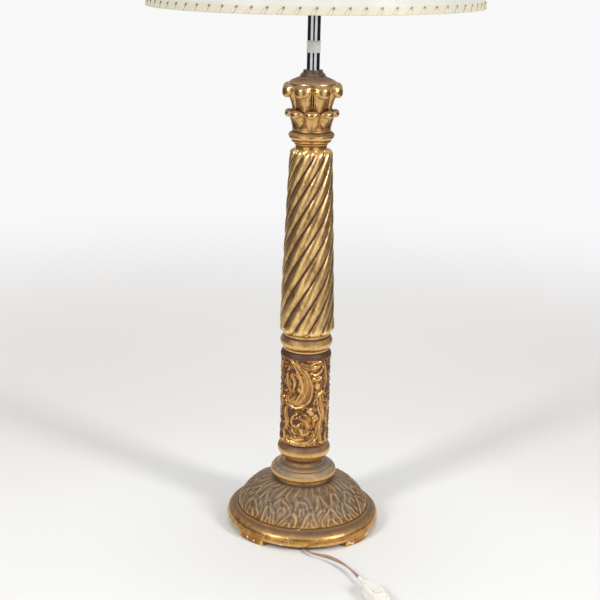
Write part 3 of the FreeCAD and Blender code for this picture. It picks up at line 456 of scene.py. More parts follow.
def parchment_finish():
    """Varnished parchment: pale grey-cream sheet with cloudy mottling, fibres, a cream edge band, and painted
    shade at the stitch holes.
    """
    net = finish_net("parchment")
    cloudy = net.noise(9.0, 5.0, 0.6)
    mottle = net.noise(48.0, 4.0, 0.6)
    fibre = net.noise(420.0, 3.0, 0.6, 0.25)
    base = net.mix(net.spread(cloudy, 0.3, 0.7), colour(200, 201, 193), colour(211, 211, 204))
    base = net.mix(net.spread(mottle, 0.48, 0.78, 0.0, 0.35), base, colour(194, 192, 180))
    base = net.mix(net.times(net.fact("edge"), 0.8), base, colour(206, 200, 178))
    return net.surface({
        # painted shade: dark brown spots where the stitch holes are, which the sheet does not cut
        "Base Color": net.mix(net.fact("hole"), base, colour(84, 52, 24)),
        "Roughness": net.spread(mottle, 0.3, 0.7, 0.46, 0.6), "Subsurface Weight": 0.1,
        "Subsurface Radius": (1.0, 0.9, 0.7), "Subsurface Scale": 0.004},
        net.plus(mottle, net.times(fibre, 0.4)), 0.25, 0.0006)


def thong_finish():
    """Waxed rawhide thong, with painted shade where it bends into its holes."""
    net = finish_net("thong")
    streak = net.noise(700.0, 3.0, 0.6, 0.3)
    base = net.mix(streak, colour(214, 200, 160), colour(236, 226, 196))
    return net.surface({
        # painted shade near the holes, from the shade value on the points
        "Base Color": net.mix(net.fact("shade"), base, colour(82, 54, 28)),
        "Roughness": net.spread(streak, 0.3, 0.7, 0.4, 0.6)}, streak, 0.4, 0.0003)


def flex_finish():
    """Clear gold flex: two stranded cores seen through a glossy skin; `across` is -1 to 1 over the width."""
    net = finish_net("flex_gold")
    across = net.fact("across")
    lay = net.put("ShaderNodeCombineXYZ", {0: net.times(across, FLEX_W / 2 * MM), 1: net.fact("along")})
    turned_lay = net.put("ShaderNodeMapping", {0: lay.outputs[0], 2: (0.0, 0.0, 0.5)})
    strand = net.put("ShaderNodeTexWave", {
        "Vector": turned_lay.outputs[0], "Scale": 260.0, "Distortion": 1.5, "Detail": 2.0}).outputs["Fac"]
    core = net.spread(net.size(net.minus(net.size(across), 0.5)), 0.12, 0.42, 1.0, 0.0)
    metal = net.mix(strand, colour(112, 82, 66), colour(158, 122, 98))
    return net.surface({
        "Base Color": net.mix(core, colour(176, 150, 128), metal),
        "Roughness": net.spread(strand, 0.2, 0.8, 0.22, 0.36),
        "Coat Weight": 0.6, "Coat Roughness": 0.12}, strand, 0.2, 0.0002)


# ---- finishes
LEAF_GOLD = colour(198, 138, 66)
BROWN_DUST = colour(94, 64, 42)
gilt_rim = gilt("gilt_rim", colour(192, 134, 62), colour(104, 78, 54), 0.35, 0.9, 0.9, 0.9, 0.4, 0.26, 0.5,
                chips_low=1.6)
gilt_dome = gilt("gilt_dome", colour(182, 132, 74), colour(134, 117, 94), 0.1, 0.62, 0.92, 0.9, 0.5, 0.3, 0.1)
gilt_rings = gilt("gilt_rings", LEAF_GOLD, BROWN_DUST, -0.05, 0.4, 0.95, 0.9, 0.25, 0.17)
gilt_disc = gilt("gilt_disc", LEAF_GOLD, colour(124, 107, 88), -0.1, 0.35, 1.0, 0.9, 0.25, 0.17)
gilt_carving = gilt("gilt_carving", colour(196, 138, 72), BROWN_DUST, 0.3, 0.9, 0.7, 1.0, 0.4, 0.24)
gilt_reeds = gilt("gilt_reeds", colour(240, 196, 130), BROWN_DUST, 0.4, 1.0, 0.5, 1.0, 0.5, 0.3)
gilt_capital = gilt("gilt_capital", colour(170, 110, 54), colour(132, 104, 80), 0.15, 0.6, 0.9, 1.0, 0.4, 0.24)
parchment = parchment_finish()
rawhide = thong_finish()
flex_gold = flex_finish()

# Name, dark and light tone, roughness, what differs from plain()'s own values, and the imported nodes.
PLAIN_FINISHES = (
    ("dark_bronze", (92, 74, 62), (136, 112, 94), 0.5, dict(metallic=0.5), ["riser_collar", "riser_cap"]),
    ("bright_chrome", (196, 198, 200), (214, 216, 218), 0.07, dict(metallic=1.0, bump=0.03, spread=0.05),
     ["riser_tube"]),
    ("threaded_steel", (120, 120, 118), (160, 158, 152), 0.38, dict(metallic=0.9),
     ["tie_rod", "base_washer", "base_nut", "switch_pin", "switch_screws", "grip_screws"]),
    ("holder_black", (20, 19, 18), (34, 32, 30), 0.4, {},
     ["holder_cap", "holder_shell", "shade_ring_lower", "shade_ring_upper", "cord_grip"]),
    ("holder_ceramic", (222, 218, 206), (236, 233, 224), 0.3, {}, ["holder_insulator"]),
    ("contact_brass", (168, 128, 62), (196, 156, 84), 0.34, dict(metallic=0.95),
     ["terminal_blocks", "centre_contact", "switch_contacts", "plug_pins"]),
    ("bulb_cap_metal", (176, 172, 160), (202, 198, 188), 0.3, dict(metallic=0.95), ["bulb_cap"]),
    ("opal_glass", (244, 242, 236), (250, 249, 245), 0.16, {}, ["bulb_glass"]),
    ("shade_wire", (206, 204, 196), (226, 224, 216), 0.4, {},
     ["shade_bottom_ring", "shade_top_ring", "fitter_ring", "shade_arms"]),
    ("white_plastic", (226, 222, 210), (238, 235, 226), 0.36, dict(coarse=40.0),
     ["switch_lower", "switch_upper", "switch_rocker", "plug_body"]),
    ("paper_band", (228, 226, 220), (243, 242, 238), 0.85, dict(fine=2400.0, bump=0.3), []))
finish_of = {"inner_flex": flex_gold}
for name, dark, light, roughness, others, nodes in PLAIN_FINISHES:
    material = plain(name, dark, light, roughness, **others)
    finish_of.update({node: material for node in nodes + [name]})
for name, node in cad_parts.items():
    if name in finish_of:
        for holder in node.material_slots:
            holder.material = finish_of[name]


# ---- turned and carved column
def standing(node, tenon=TENON_H):
    """Heights of a turned piece's foot, above its tenon, and of its top, in millimetres."""
    low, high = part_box(node)
    return low.z / MM + tenon, high.z / MM


RIM_TOP = standing("base_rim")[1]
DOME_LOW, DOME_TOP = standing("base_dome", 0.0)
DRUM_LOW, DRUM_TOP = standing("carved_drum")
SHAFT_LOW, SHAFT_TOP = standing("reeded_shaft")
CAPITAL_LOW, CAPITAL_TOP = standing("capital")


def gilded(name, node, points, material, depth, spread=3.2, lift=0.0, wear=None, **values):
    """Closed grid in millimetres as a gilded piece of the column."""
    relief, upward = carved_values(points, spread, depth, lift)
    if wear:
        relief = wear(relief, points)
    return new_piece(name, points * MM, grid_faces(*points.shape[:2]), material, "root", "gilt_wood", node,
                     relief=relief, upward=upward, **values)


def foot_share(a):
    """1 under a bracket foot and 0 between the feet, with slanted ends."""
    turn = (a - FOOT_TURN + math.pi / 4) % (math.pi / 2) - math.pi / 4
    return np.clip((FOOT_SPAN / 2 - np.abs(turn)) / FOOT_SLANT + 0.5, 0, 1)


def rim_points():
    """Rim board: the outline turned about the axis, its flat underside let down to the floor in four
    bracket feet flush with its edge, with dents worn into the edge."""
    z0 = FOOT_H
    widest = z0 + 8.5
    face_r = 112
    rows = outline_rows(z0 + 15, [
        (50, z0 + 15), (50, z0), (118, z0), ((122.3, z0 + 2.2), (123.5, widest)),
        ((120.5, z0 + 17), (113.5, z0 + 21.5)), (109.4, RIM_TOP - 0.9), (108.6, RIM_TOP - 0.2),
        (107.4, RIM_TOP), (106.6, RIM_TOP - 1.3), (105.8, RIM_TOP - 1.3), (105.2, RIM_TOP)],
        RIM_TOP, step=0.85, seen_from=99.0)
    a = circle(740)
    r, z = rows[:, :1], rows[:, 1:]
    share = foot_share(a)
    z = np.where((r > FOOT_IN_R) & (z < z0 + 0.4), z - (z0 - 0.02) * share, z)
    flush = RIM_R - ((widest - z) / widest) ** 2
    r = np.where((r > face_r) & (z < widest), np.maximum(r, share * flush), r)
    r = np.minimum(r + ripple(a, z, 3, 0.35) * smooth_step((r - face_r) / 8), RIM_R + 0.5)
    return wrapped(r, a, np.maximum(z, 0.0))


def scar_share(points):
    """1 in the middle of the long chip in the bead on the rim, and 0 away from it."""
    x = (points[..., 0] - SCAR_R * math.cos(SCAR_TURN)) / 3.6
    y = (points[..., 1] - SCAR_R * math.sin(SCAR_TURN)) / 1.7
    return np.exp(-(x ** 2 + y ** 2)) * (points[..., 2] > 25)


def arch_row(turn, s, foot, crown):
    """One row of hanging lobes.  Over a lobe x runs from -1 to 1, and f = hypot(x, (foot - s) / crown) is
    0 in the middle of its foot and 1 on its outline.  It swells as sqrt(1 - f^2), with sharp ridges
    along rings of f; height and lean differ from lobe to lobe."""
    k = np.floor(turn)
    lobe = k % DOME_LOBES
    wobble = np.sin(12.9898 * lobe + 1.7)
    x = (turn - k) * 2 - 1 + 0.16 * wobble * (foot - s)
    f = np.hypot(x, (foot - s) / (crown * (1 + 0.16 * np.sin(7.3 * lobe))))
    ridge = (0.5 + 0.5 * np.cos(2 * np.pi * (DOME_VEINS * f + 0.1 * wobble))) ** 2.6
    swell = np.sqrt(np.clip(1 - f ** 2, 0, 1))
    rib = -0.8 * np.exp(-(x / 0.10) ** 2) * smooth_step((f - 0.15) / 0.2)
    return smooth_step((1.0 - f) / 0.10), 0.8 * swell + 1.15 * ridge + rib


def dome_relief(a, r, z):
    """Acanthus that hangs in two rows of lobes, s from 0 at the neck to 1 at the rim, both coordinates
    pushed about by slow waves.  The lower row lies over the upper, and stems |cos| of the angle run up
    between the lobes."""
    neck_z = DOME_TOP - 5.0
    s = np.clip((neck_z - z) / (neck_z - DOME_LOW), 0, 1)
    s = np.where(r < NECK_R - 0.5, 0, s) ** 0.8
    s = s + 0.03 * np.sin(5 * a + 1.0) * np.sin(9 * s) + 0.012 * np.sin(23 * a + 13 * s)
    turn = (a + math.radians(92.0)) / (2 * np.pi / DOME_LOBES)
    turn = turn + 0.12 * np.sin(3 * a + 6 * s) + 0.06 * np.sin(9 * a - 7 * s) + 0.02 * np.sin(31 * a + 17 * s)
    low_in, low = arch_row(turn, s, 1.06, 0.60)
    high_in, high = arch_row(turn + 0.5, s, 0.74, 0.56)
    stem = np.abs(np.cos(np.pi * (2.0 * turn + 0.5 * np.sin(6 * s))))
    height = (1.1 * stem ** 3 - 0.7) * (1 - high_in) + (high - 0.3) * high_in
    height = height * (1 - low_in) + (low + 0.1) * low_in
    outlines = low_in * (1 - low_in) + high_in * (1 - high_in) * (1 - low_in)
    fade = smooth_step(s / 0.06) * smooth_step((1.02 - s) / 0.03)
    carved = (r > NECK_R - 1.0) & (r < DOME_R + 1.5) & (z > DOME_LOW + 0.3)
    return (DOME_RELIEF * (height - 2.16 * outlines) * fade + ripple(a, z, 5, 0.3)) * carved


def dome_points():
    """Carved dome: r = 50 + 54 sin(t)^1.25 and z = 46 cos(t)^1.25 above the rim, then the neck."""
    t = np.linspace(math.pi / 2, 0, 60)
    bow = 1.25
    crown = zip(NECK_R + (DOME_R - NECK_R) * np.sin(t) ** bow, DOME_LOW + DOME_H * np.cos(t) ** bow)
    crown_z = DOME_LOW + DOME_H
    outline = list(crown) + [(48.6, crown_z + 0.3), (47.0, crown_z + 1.6), (47.0, DOME_TOP)]
    return round_about(outline_rows(DOME_LOW, outline, DOME_TOP, 1.0, 0.4, 44.0), 600, dome_relief)


def turned(name, node, finish, columns, seed, outline):
    """Plain turned piece, its outline from its foot z to its top, uneven past the tenon."""
    foot, top = standing(node)
    rows = outline_rows(foot, outline(foot, top), top)
    points = round_about(rows, columns, lambda a, r, z: ripple(a, z, seed, 0.18) * (r > 22))
    return gilded(name, node, points, finish, 1.1, lift=0.12)


# Scrolls of the drum as carving strokes, in millimetres across and down from the top of the drum as
# they are seen from the front: height, half-width at the start, in the middle and at the end, the
# number of ridges along the back, then points.
SCROLLS = [
    (2.6, 2.2, 7.2, 5.2, 3, [(-22, 14), (-10, 22), (1, 36), (4, 52), (0, 68), (-10, 80), (-22, 80)]),
    (3.2, 1.6, 3.0, 1.6, 2, [(-22, 13), (-8, 20), (6, 36), (11, 54), (9, 72), (0, 84), (-12, 90),
     (-26, 86), (-35, 74)]),
    (2.8, 1.4, 3.2, 2.6, 1, [(-19, 18), (-13, 28), (-9, 38), (-7, 44)]),
    (2.8, 1.4, 3.4, 3.0, 1, [(-12, 30), (-6, 42), (-4, 54), (-5, 62)]),
    (2.6, 2.4, 3.8, 3.4, 1, [(-4, 60), (-10, 70), (-14, 78)]),
    (2.4, 2.8, 4.6, 2.6, 2, [(-29, 36), (-28, 50), (-23, 62), (-18, 62)]),
    (2.8, 1.6, 3.2, 2.0, 1, [(-21, 36), (-17, 48), (-19, 60)]),
    (2.4, 4.2, 4.4, 3.6, 0, [(-9, 58), (-7, 61)]),
    (2.2, 3.4, 4.6, 3.0, 1, [(-30, 72), (-24, 78), (-18, 72)]),
    (2.6, 1.4, 4.2, 2.6, 2, [(-16, 13), (-4, 19), (8, 23), (18, 22), (27, 16)]),
    (2.8, 1.4, 2.8, 2.0, 1, [(-6, 15), (6, 17), (16, 14), (24, 13)]),
    (2.8, 1.2, 3.0, 2.0, 1, [(8, 30), (16, 34), (24, 30), (28, 22)]),
    (3.0, 4.2, 4.8, 4.2, 2, [(14, 40), (20, 43), (24, 40)]),
    (3.0, 4.6, 5.2, 4.2, 0, [(20, 50), (20, 55)]),
    (2.2, 2.0, 4.6, 3.0, 2, [(30, 14), (32, 28), (33, 44), (31, 56)]),
    (2.8, 1.4, 3.4, 2.2, 1, [(14, 82), (19, 72), (26, 65), (31, 62)]),
    (2.6, 2.6, 6.4, 4.4, 3, [(24, 68), (26, 84), (29, 102), (25, 120), (24, 134), (28, 150)]),
    (3.0, 1.2, 2.4, 1.6, 1, [(20, 76), (22, 92), (26, 108), (22, 124)]),
    (2.6, 2.0, 3.8, 2.2, 1, [(37, 84), (36, 98), (34, 112), (36, 124)]),
    (3.2, 4.8, 5.4, 4.6, 0, [(8, 94), (11, 98)]),
    (3.0, 2.4, 2.8, 2.2, 0, [(14, 106), (18, 103), (20, 108), (16, 111)]),
    (2.8, 2.0, 4.8, 3.4, 2, [(20, 122), (17, 134), (8, 144), (-4, 150), (-18, 149), (-28, 142)]),
    (3.2, 1.0, 2.0, 1.6, 1, [(24, 118), (22, 134), (13, 148), (-2, 154), (-18, 153), (-30, 146)]),
    (2.8, 2.2, 3.2, 2.6, 1, [(-12, 100), (-19, 105), (-21, 115), (-16, 122), (-9, 119)]),
    (2.4, 3.6, 5.4, 4.0, 2, [(-6, 106), (2, 112), (6, 120)]),
    (2.6, 4.4, 5.4, 4.6, 1, [(-6, 126), (-2, 134), (4, 132)]),
    (3.0, 4.0, 6.0, 4.2, 2, [(-22, 142), (-14, 145), (-4, 142)]),
    (2.6, 3.2, 4.0, 3.0, 1, [(-20, 128), (-14, 134)]),
    (2.4, 2.4, 5.0, 3.2, 2, [(-30, 92), (-31, 104), (-28, 116), (-30, 128)]),
    (2.6, 1.6, 3.0, 2.2, 1, [(-37, 58), (-37, 72), (-36, 86), (-38, 100)]),
    (2.6, 2.4, 4.4, 3.0, 1, [(-34, 132), (-32, 142), (-34, 150)]),
    (2.6, 1.6, 3.0, 2.4, 1, [(-36, 16), (-38, 30), (-37, 44)]),
    (2.8, 1.6, 3.4, 2.0, 1, [(16, 150), (20, 140), (22, 132)]),
    (2.6, 2.0, 3.4, 2.4, 1, [(36, 132), (34, 142), (35, 152)]),
]


def cut_stroke(height, across, down, line, width, tall, ridges):
    """Raises one stroke in the height field.  At d, the least distance from its line in half-widths of
    that place, it stands tall * sqrt(1 - d^2); ridges run along its back as cos of the signed d."""
    reach = width.max() + 1
    low, high = line.min(0) - reach, line.max(0) + reach
    near = np.nonzero((across > low[0]) & (across < high[0]) & (down > low[1]) & (down < high[1]))
    px, py = across[near], down[near]
    nearest = np.full(len(px), 9.0)
    signed = np.zeros(len(px))
    for (x, y), w, (wx, wy) in zip(line, width, unit(np.gradient(line, axis=0))):
        dx, dy = px - x, py - y
        distance = (dx ** 2 + dy ** 2) / w ** 2
        closer = distance < nearest
        nearest = np.where(closer, distance, nearest)
        signed = np.where(closer, (dx * wy - dy * wx) / w, signed)
    mound = np.sqrt(np.clip(1 - nearest, 0, 1))
    veins = 0.15 * (np.cos(2 * np.pi * ridges * signed / 1.7) - 1) * np.sqrt(mound) * (ridges > 0)
    height[near] = np.maximum(height[near], tall * (mound + veins))


def cut_bed(height, across, down):
    """Bed of small curled leaves, one to each cell, turned along slow whirls."""
    rng = np.random.default_rng(8)
    steps = np.linspace(-1, 1, 14)
    for y in np.arange(12, 154, BED_CELL[1]):
        for x in np.arange(-59, 60, BED_CELL[0]):
            place = np.array([x, y]) + rng.uniform(-2.5, 2.5, 2)
            whirl = 1.6 * math.sin(place[0] / 17 + 1) + 2.2 * math.cos(place[1] / 23)
            turn = whirl + rng.uniform(-0.5, 0.5)
            heading = turn + rng.uniform(0.5, 1.1) * rng.choice([-1, 1]) * steps
            line = place + np.cumsum(np.stack([np.cos(heading), np.sin(heading)], -1), 0) * 0.85
            width = rng.uniform(2.4, 3.6) * (0.45 + 0.55 * np.cos(np.pi / 2 * steps) ** 0.7)
            cut_stroke(height, across, down, line, width, rng.uniform(1.3, 2.0), 1)


def drum_relief(a, r, z):
    """Height of the carving over the drum: the bed of leaves, then the scrolls.  A higher stroke hides a
    lower one.  The panel repeats on the back of the drum."""
    across = DRUM_R * (a % math.pi - math.pi / 2)
    down = DRUM_TOP - z
    height = np.zeros_like(a)
    cut_bed(height, across, down)
    for tall, first, middle, last, ridges, points in SCROLLS:
        line = np.array(points, float)
        line[:, 0] = DRUM_R * np.arcsin(np.clip(line[:, 0] / DRUM_R, -0.985, 0.985))
        count = max(8, int(run_of(line)[-1] / 0.9))
        share = np.linspace(0, 1, count)
        width = np.interp(share, [0, 0.5, 1], [first, middle, last]) * 1.12
        width = width * (1 + 0.07 * np.cos(share * 2 * np.pi * max(1, round(count / 9))))
        cut_stroke(height, across, down, flowing(line, count), width, tall, ridges)
    shown = smooth_step((down - 8) / 4) * smooth_step((DRUM_TOP - DRUM_LOW - 2 - down) / 3) * (r > 36)
    ground = ripple(a * 3, z * 2, 21, 0.35)
    return np.minimum(STROKE_RISE * height - GROUND_SINK + ground, 1.15) * shown


def drum_points():
    z, top = DRUM_LOW, DRUM_TOP
    rows = outline_rows(z, [
        (36, z), ((39.4, z + 3.0), (DRUM_R, z + 12.0)), (DRUM_R, top - 14.0), ((39.2, top - 4.0), (36, top))],
        top, 1.15, 0.5)
    return round_about(rows, 500, drum_relief)


def drum_wear(relief, points):
    """Hollows follow the height above the ground too, and the relief is lowered on the drum's top band, which
    darkens it.
    """
    above = (np.hypot(points[..., 0], points[..., 1]) - DRUM_R + GROUND_SINK) / 2.8
    relief = np.clip(0.45 * relief + 0.6 * np.clip(above, 0, 1), 0, 1)
    # lowered relief darkens the top band
    return relief * (1 - 0.72 * smooth_step((points[..., 2] - DRUM_TOP + 11) / 3))


def shaft_points():
    """Reeded shaft: the crown radius falls from the foot's to the top's as t^1.12, the reeds turn as
    0.86 t + 0.14 t^2 of their whole twist, and across one reed, with x from -1 to 1, the surface is
    depth * (1 - sqrt(1 - |x|^1.9)) under the crown.  Each end of a reed is rounded like a finger tip."""
    t = np.linspace(0, 1, 210)[:, None]
    a = circle(440)
    z = SHAFT_LOW + (SHAFT_TOP - SHAFT_LOW) * t
    turn = REED_START + REED_TWIST * (0.86 * t + 0.14 * t * t)
    phase = (a - turn) / (2 * np.pi / REED_COUNT)
    x = 2 * (phase - np.round(phase))
    crown = SHAFT_R[0] + (SHAFT_R[1] - SHAFT_R[0]) * t ** 1.12
    full = crown - REED_DEPTH * (1 - np.sqrt(np.clip(1 - np.abs(x) ** 1.9, 0, 1)))
    tips = [(way - 0.45 * REED_TIP * x ** 2) / REED_TIP for way in (z - SHAFT_LOW, SHAFT_TOP - z)]
    low, high = (np.sqrt(1 - (1 - np.clip(tip, 0, 1)) ** 2) for tip in tips)
    r = np.where(t > 0.5, CORE_R[1] + (full - CORE_R[1]) * high, CORE_R[0] + (full - CORE_R[0]) * low)
    r = r + ripple(a, z, 31, 0.35) * low * high
    bore = np.full((1, len(a)), BORE_R)
    return wrapped(np.vstack([bore, r, bore]), a, np.vstack([z[:1], z, z[-1:]]))


def bell_points():
    """The capital's bell under its leaves."""
    z, top = CAPITAL_LOW, CAPITAL_TOP

    def fluting(a, r, height):
        """Fluting that fans out up the bell between the leaves: cos of 32 times the angle."""
        up = (height - z) / (top - z)
        share = smooth_step((up - 0.40) / 0.08) * smooth_step((0.72 - up) / 0.06)
        fan = np.cos(32 * a + 7.2 * np.sin(8 * a) * up)
        return share * 0.9 * fan * (r > 25) + ripple(a, height, 41, 0.2) * (r > 19)

    rows = outline_rows(z, [
        (29.8, z), (29.8, z + 4.0), (30.0, z + 22.0), ((30.6, z + 38.0), (34.0, z + 52.0)), (37.0, z + 61.0),
        (37.8, z + 66.0), (37.0, z + 70.0), (33.0, z + 73.0), (20.5, top - 0.6), (19.0, top)], top, 0.9)
    return round_about(rows, 400, fluting)


def leaf_points(line, widths, thick, angle, lobes):
    """One leaf: an oval section carried along a centre line (r, z) in the plane of the angle.
    Across the leaf, x = w cos u and the depth is t sin u, curved back towards the edges by
    0.16 x^2 / w, with a sunk midrib and lobed edges, w (1 + 0.07 cos(lobes v))."""
    rows, columns = LEAF_GRID
    v = np.linspace(0, 1, rows)
    w, t = (softened(np.interp(v, np.linspace(0, 1, len(sizes)), sizes), 2.0, 0, False)
            for sizes in (widths, thick))
    end = np.sqrt(1 - ((v - 0.86) / 0.14).clip(0, 1) ** 2)
    w = (w * (1 + 0.07 * np.cos(lobes * 2 * np.pi * v)) * (0.12 + 0.88 * end))[:, None]
    t = (t * (0.2 + 0.8 * end))[:, None]
    centre = flowing(line, rows)
    along = unit(np.gradient(centre, axis=0))
    u = np.linspace(2 * np.pi, 0, columns, endpoint=False)
    x = w * np.cos(u)
    edge_veins = 0.28 * (1 - np.cos(2.6 * np.pi * np.cos(u))) * smooth_step((0.9 - v[:, None]) / 0.2)
    groove = (0.5 * np.exp(-(x / 1.3) ** 2) + edge_veins) * np.minimum(t, 1.6) * 0.6
    depth = t * np.sin(u) - np.where(np.sin(u) > 0, groove, 0)
    r = centre[:, :1] + along[:, 1:] * depth - 0.16 * x ** 2 / w.clip(1)
    r = np.minimum(r, LEAF_REACH)
    return wrapped(r, angle + x / np.maximum(r, 20.0), centre[:, 1:] - along[:, :1] * depth)


def tier(name, line, widths, thick, start, lobes):
    """Eight leaves of the capital as one piece; the line's heights count from the capital's foot."""
    line = [(r, CAPITAL_LOW + z) for r, z in line]
    leaves = np.array([leaf_points(line, widths, thick, start + k * math.pi / 4, lobes) for k in range(8)])
    faces = []
    for k in range(len(leaves)):
        faces += capped_faces(*LEAF_GRID, k * LEAF_GRID[0] * LEAF_GRID[1])
    relief, upward = zip(*(carved_values(leaf, 2.2, 1.1, -0.1, False) for leaf in leaves))
    return new_piece(name, leaves * MM, faces, gilt_capital, "root", "gilt_wood", relief=relief, upward=upward)


rim = rim_points()
gilded("rim_board", "base_rim", rim, gilt_rim, 2.2, scar=scar_share(rim))
gilded("dome_carving", "base_dome", dome_points(), gilt_dome, 2.6, 2.6)
turned("disc_ring", "base_disc", gilt_disc, 360, 11, lambda z, top: [
    (47.7, z), ((51.9, z + 3.5), (52.7, z + 9.0)), ((51.2, z + 14.0), (46.7, z + 17.0)),
    (44.2, z + 17.6), (43.2, z + 19.0), (34.0, top - 1.5), (32.0, top)])
turned("torus_ring", "base_torus", gilt_rings, 360, 12, lambda z, top: [
    (31.5, z), ((29.6, z + 4.0), (30.5, z + 9.0)), (35.5, z + 10.0), (36.5, z + 12.0),
    ((42.8, z + 23.0), (36.0, top))])
gilded("drum_scrolls", "carved_drum", drum_points(), gilt_carving, 2.8, 2.4, wear=drum_wear)
turned("middle_ring", "mid_ring", gilt_rings, 360, 13, lambda z, top: [
    (36.2, z), (36.2, z + 4.0), (38.7, z + 6.0), ((41.7, z + 13.5), (38.7, z + 21.0)),
    (36.2, z + 22.5), (36.2, top)])
gilded("shaft_reeds", "reeded_shaft", shaft_points(), gilt_reeds, 2.6, 4.5, lift=-0.10)
turned("capital_ring", "capital_collar", gilt_rings, 320, 14, lambda z, top: [
    (24.4, z), (24.4, z + 5.5), (26.3, z + 7.0), (26.3, z + 9.0), (30.9, z + 11.0), (30.9, z + 14.0),
    (32.0, z + 15.0), ((35.4, z + 20.0), (32.0, z + 25.0)), (29.8, z + 26.5), (29.8, top)])
gilded("capital_bell", "capital", bell_points(), gilt_capital, 2.2)
tier("capital_upper_leaves",
     [(29.0, 27), (31.0, 38), (33.6, 48), (36.4, 57.5), (39.4, 63.0), (42.2, 61.0), (43.2, 54.5), (41.6, 48.5)],
     [6.5, 8.0, 10.0, 13.0, 15.5, 14.5, 12.5, 8.0], [1.8, 2.4, 3.2, 4.6, 5.8, 5.8, 5.0, 3.2],
     -math.pi / 2 + math.pi / 8, 5.0)
tier("capital_lower_leaves",
     [(28.4, 1.0), (29.4, 9), (31.0, 16.5), (33.4, 22.6), (36.0, 25.0), (37.3, 22.0), (36.8, 17.6)],
     [10.5, 10.5, 11.5, 13.0, 12.5, 10.5, 6.0], [1.8, 2.2, 3.0, 4.8, 5.2, 4.3, 2.2],
     -math.pi / 2, 4.0)


# ---- paper band on the bright tube
def paper_band():
    """Blank paper band: a closed sleeve 0.2 mm thick about the tube, its ends a little lifted."""
    low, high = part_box("riser_tube")
    out = np.array([0.02, 0.2, 0.2, 0.2, 0.2, 0.2, 0.02])[:, None]
    up = np.array([0, 0, 0.25, 0.5, 0.75, 1, 1])[:, None]
    a = circle(120)
    lifted = 0.12 + 0.25 * np.exp(-(((a - 4.2 + np.pi) % (2 * np.pi) - np.pi) / 0.08) ** 2)
    points = wrapped(high.x / MM + out + lifted * (out > 0.1), a, low.z / MM + BAND_LOW + BAND_H * up)
    return new_piece("paper_band", points * MM, grid_faces(len(out), len(a)), finish_of["paper_band"], "root",
                     "bright_chrome")


paper_band()

# ---- shade
skin_low, skin_high = (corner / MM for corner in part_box("shade_skin"))
SKIN_R, SKIN_LOW, SKIN_TOP = skin_high.x, skin_low.z, skin_high.z
STITCH_STEP = 2 * np.pi / STITCH_COUNT


def skin_radius(z):
    """Radius of the outside of the cone at a height."""
    return SKIN_R + (SKIN_TOP_R - SKIN_R) * (z - SKIN_LOW) / (SKIN_TOP - SKIN_LOW)


def shade_sheet():
    """Laced parchment cone: outer and inner wall as one closed sheet.  The wall waves in and out by up
    to 0.6 mm, and between two stitches the edge swells by 0.3 mm."""
    a = circle(STITCH_COUNT * 13)
    up = np.concatenate([np.linspace(0, 0.04, 12), np.linspace(0.05, 0.95, 26), np.linspace(0.96, 1, 12)])
    z = SKIN_LOW + (SKIN_TOP - SKIN_LOW) * up[:, None]
    from_edge = np.minimum(z - SKIN_LOW, SKIN_TOP - z)
    wave = 0.35 * np.sin(3 * a + 0.02 * z) + 0.25 * np.sin(7 * a + 1.3 - 0.013 * z)
    swell = 0.3 * (0.5 - 0.5 * np.cos(STITCH_COUNT * a)) * smooth_step(1 - from_edge / 12)
    hem = 0.25 * smooth_step((HEM_H - from_edge) / 0.8)
    outer = skin_radius(z) - SKIN_IN + wave * smooth_step(from_edge / 30) + swell + hem
    r = np.vstack([outer, (outer - SKIN_T - hem)[::-1]])
    z, from_edge = (np.vstack([half, half[::-1]]) for half in (z, from_edge))
    off = (a - STITCH_LEAN / SKIN_R / 2 + STITCH_STEP / 2) % STITCH_STEP - STITCH_STEP / 2
    # painted shade of the stitch holes, as dark spots on the sheet
    hole = np.exp(-((off * r) ** 2 + (from_edge - STITCH_H) ** 2) / 1.4 ** 2)
    return new_piece("shade_parchment", wrapped(r, a, z) * MM, grid_faces(*r.shape), parchment, "shade",
                     "parchment", "shade_skin", edge=smooth_step((HEM_H - from_edge) / 1.5) + 0 * r,
                     hole=np.clip(hole * 1.3, 0, 1))


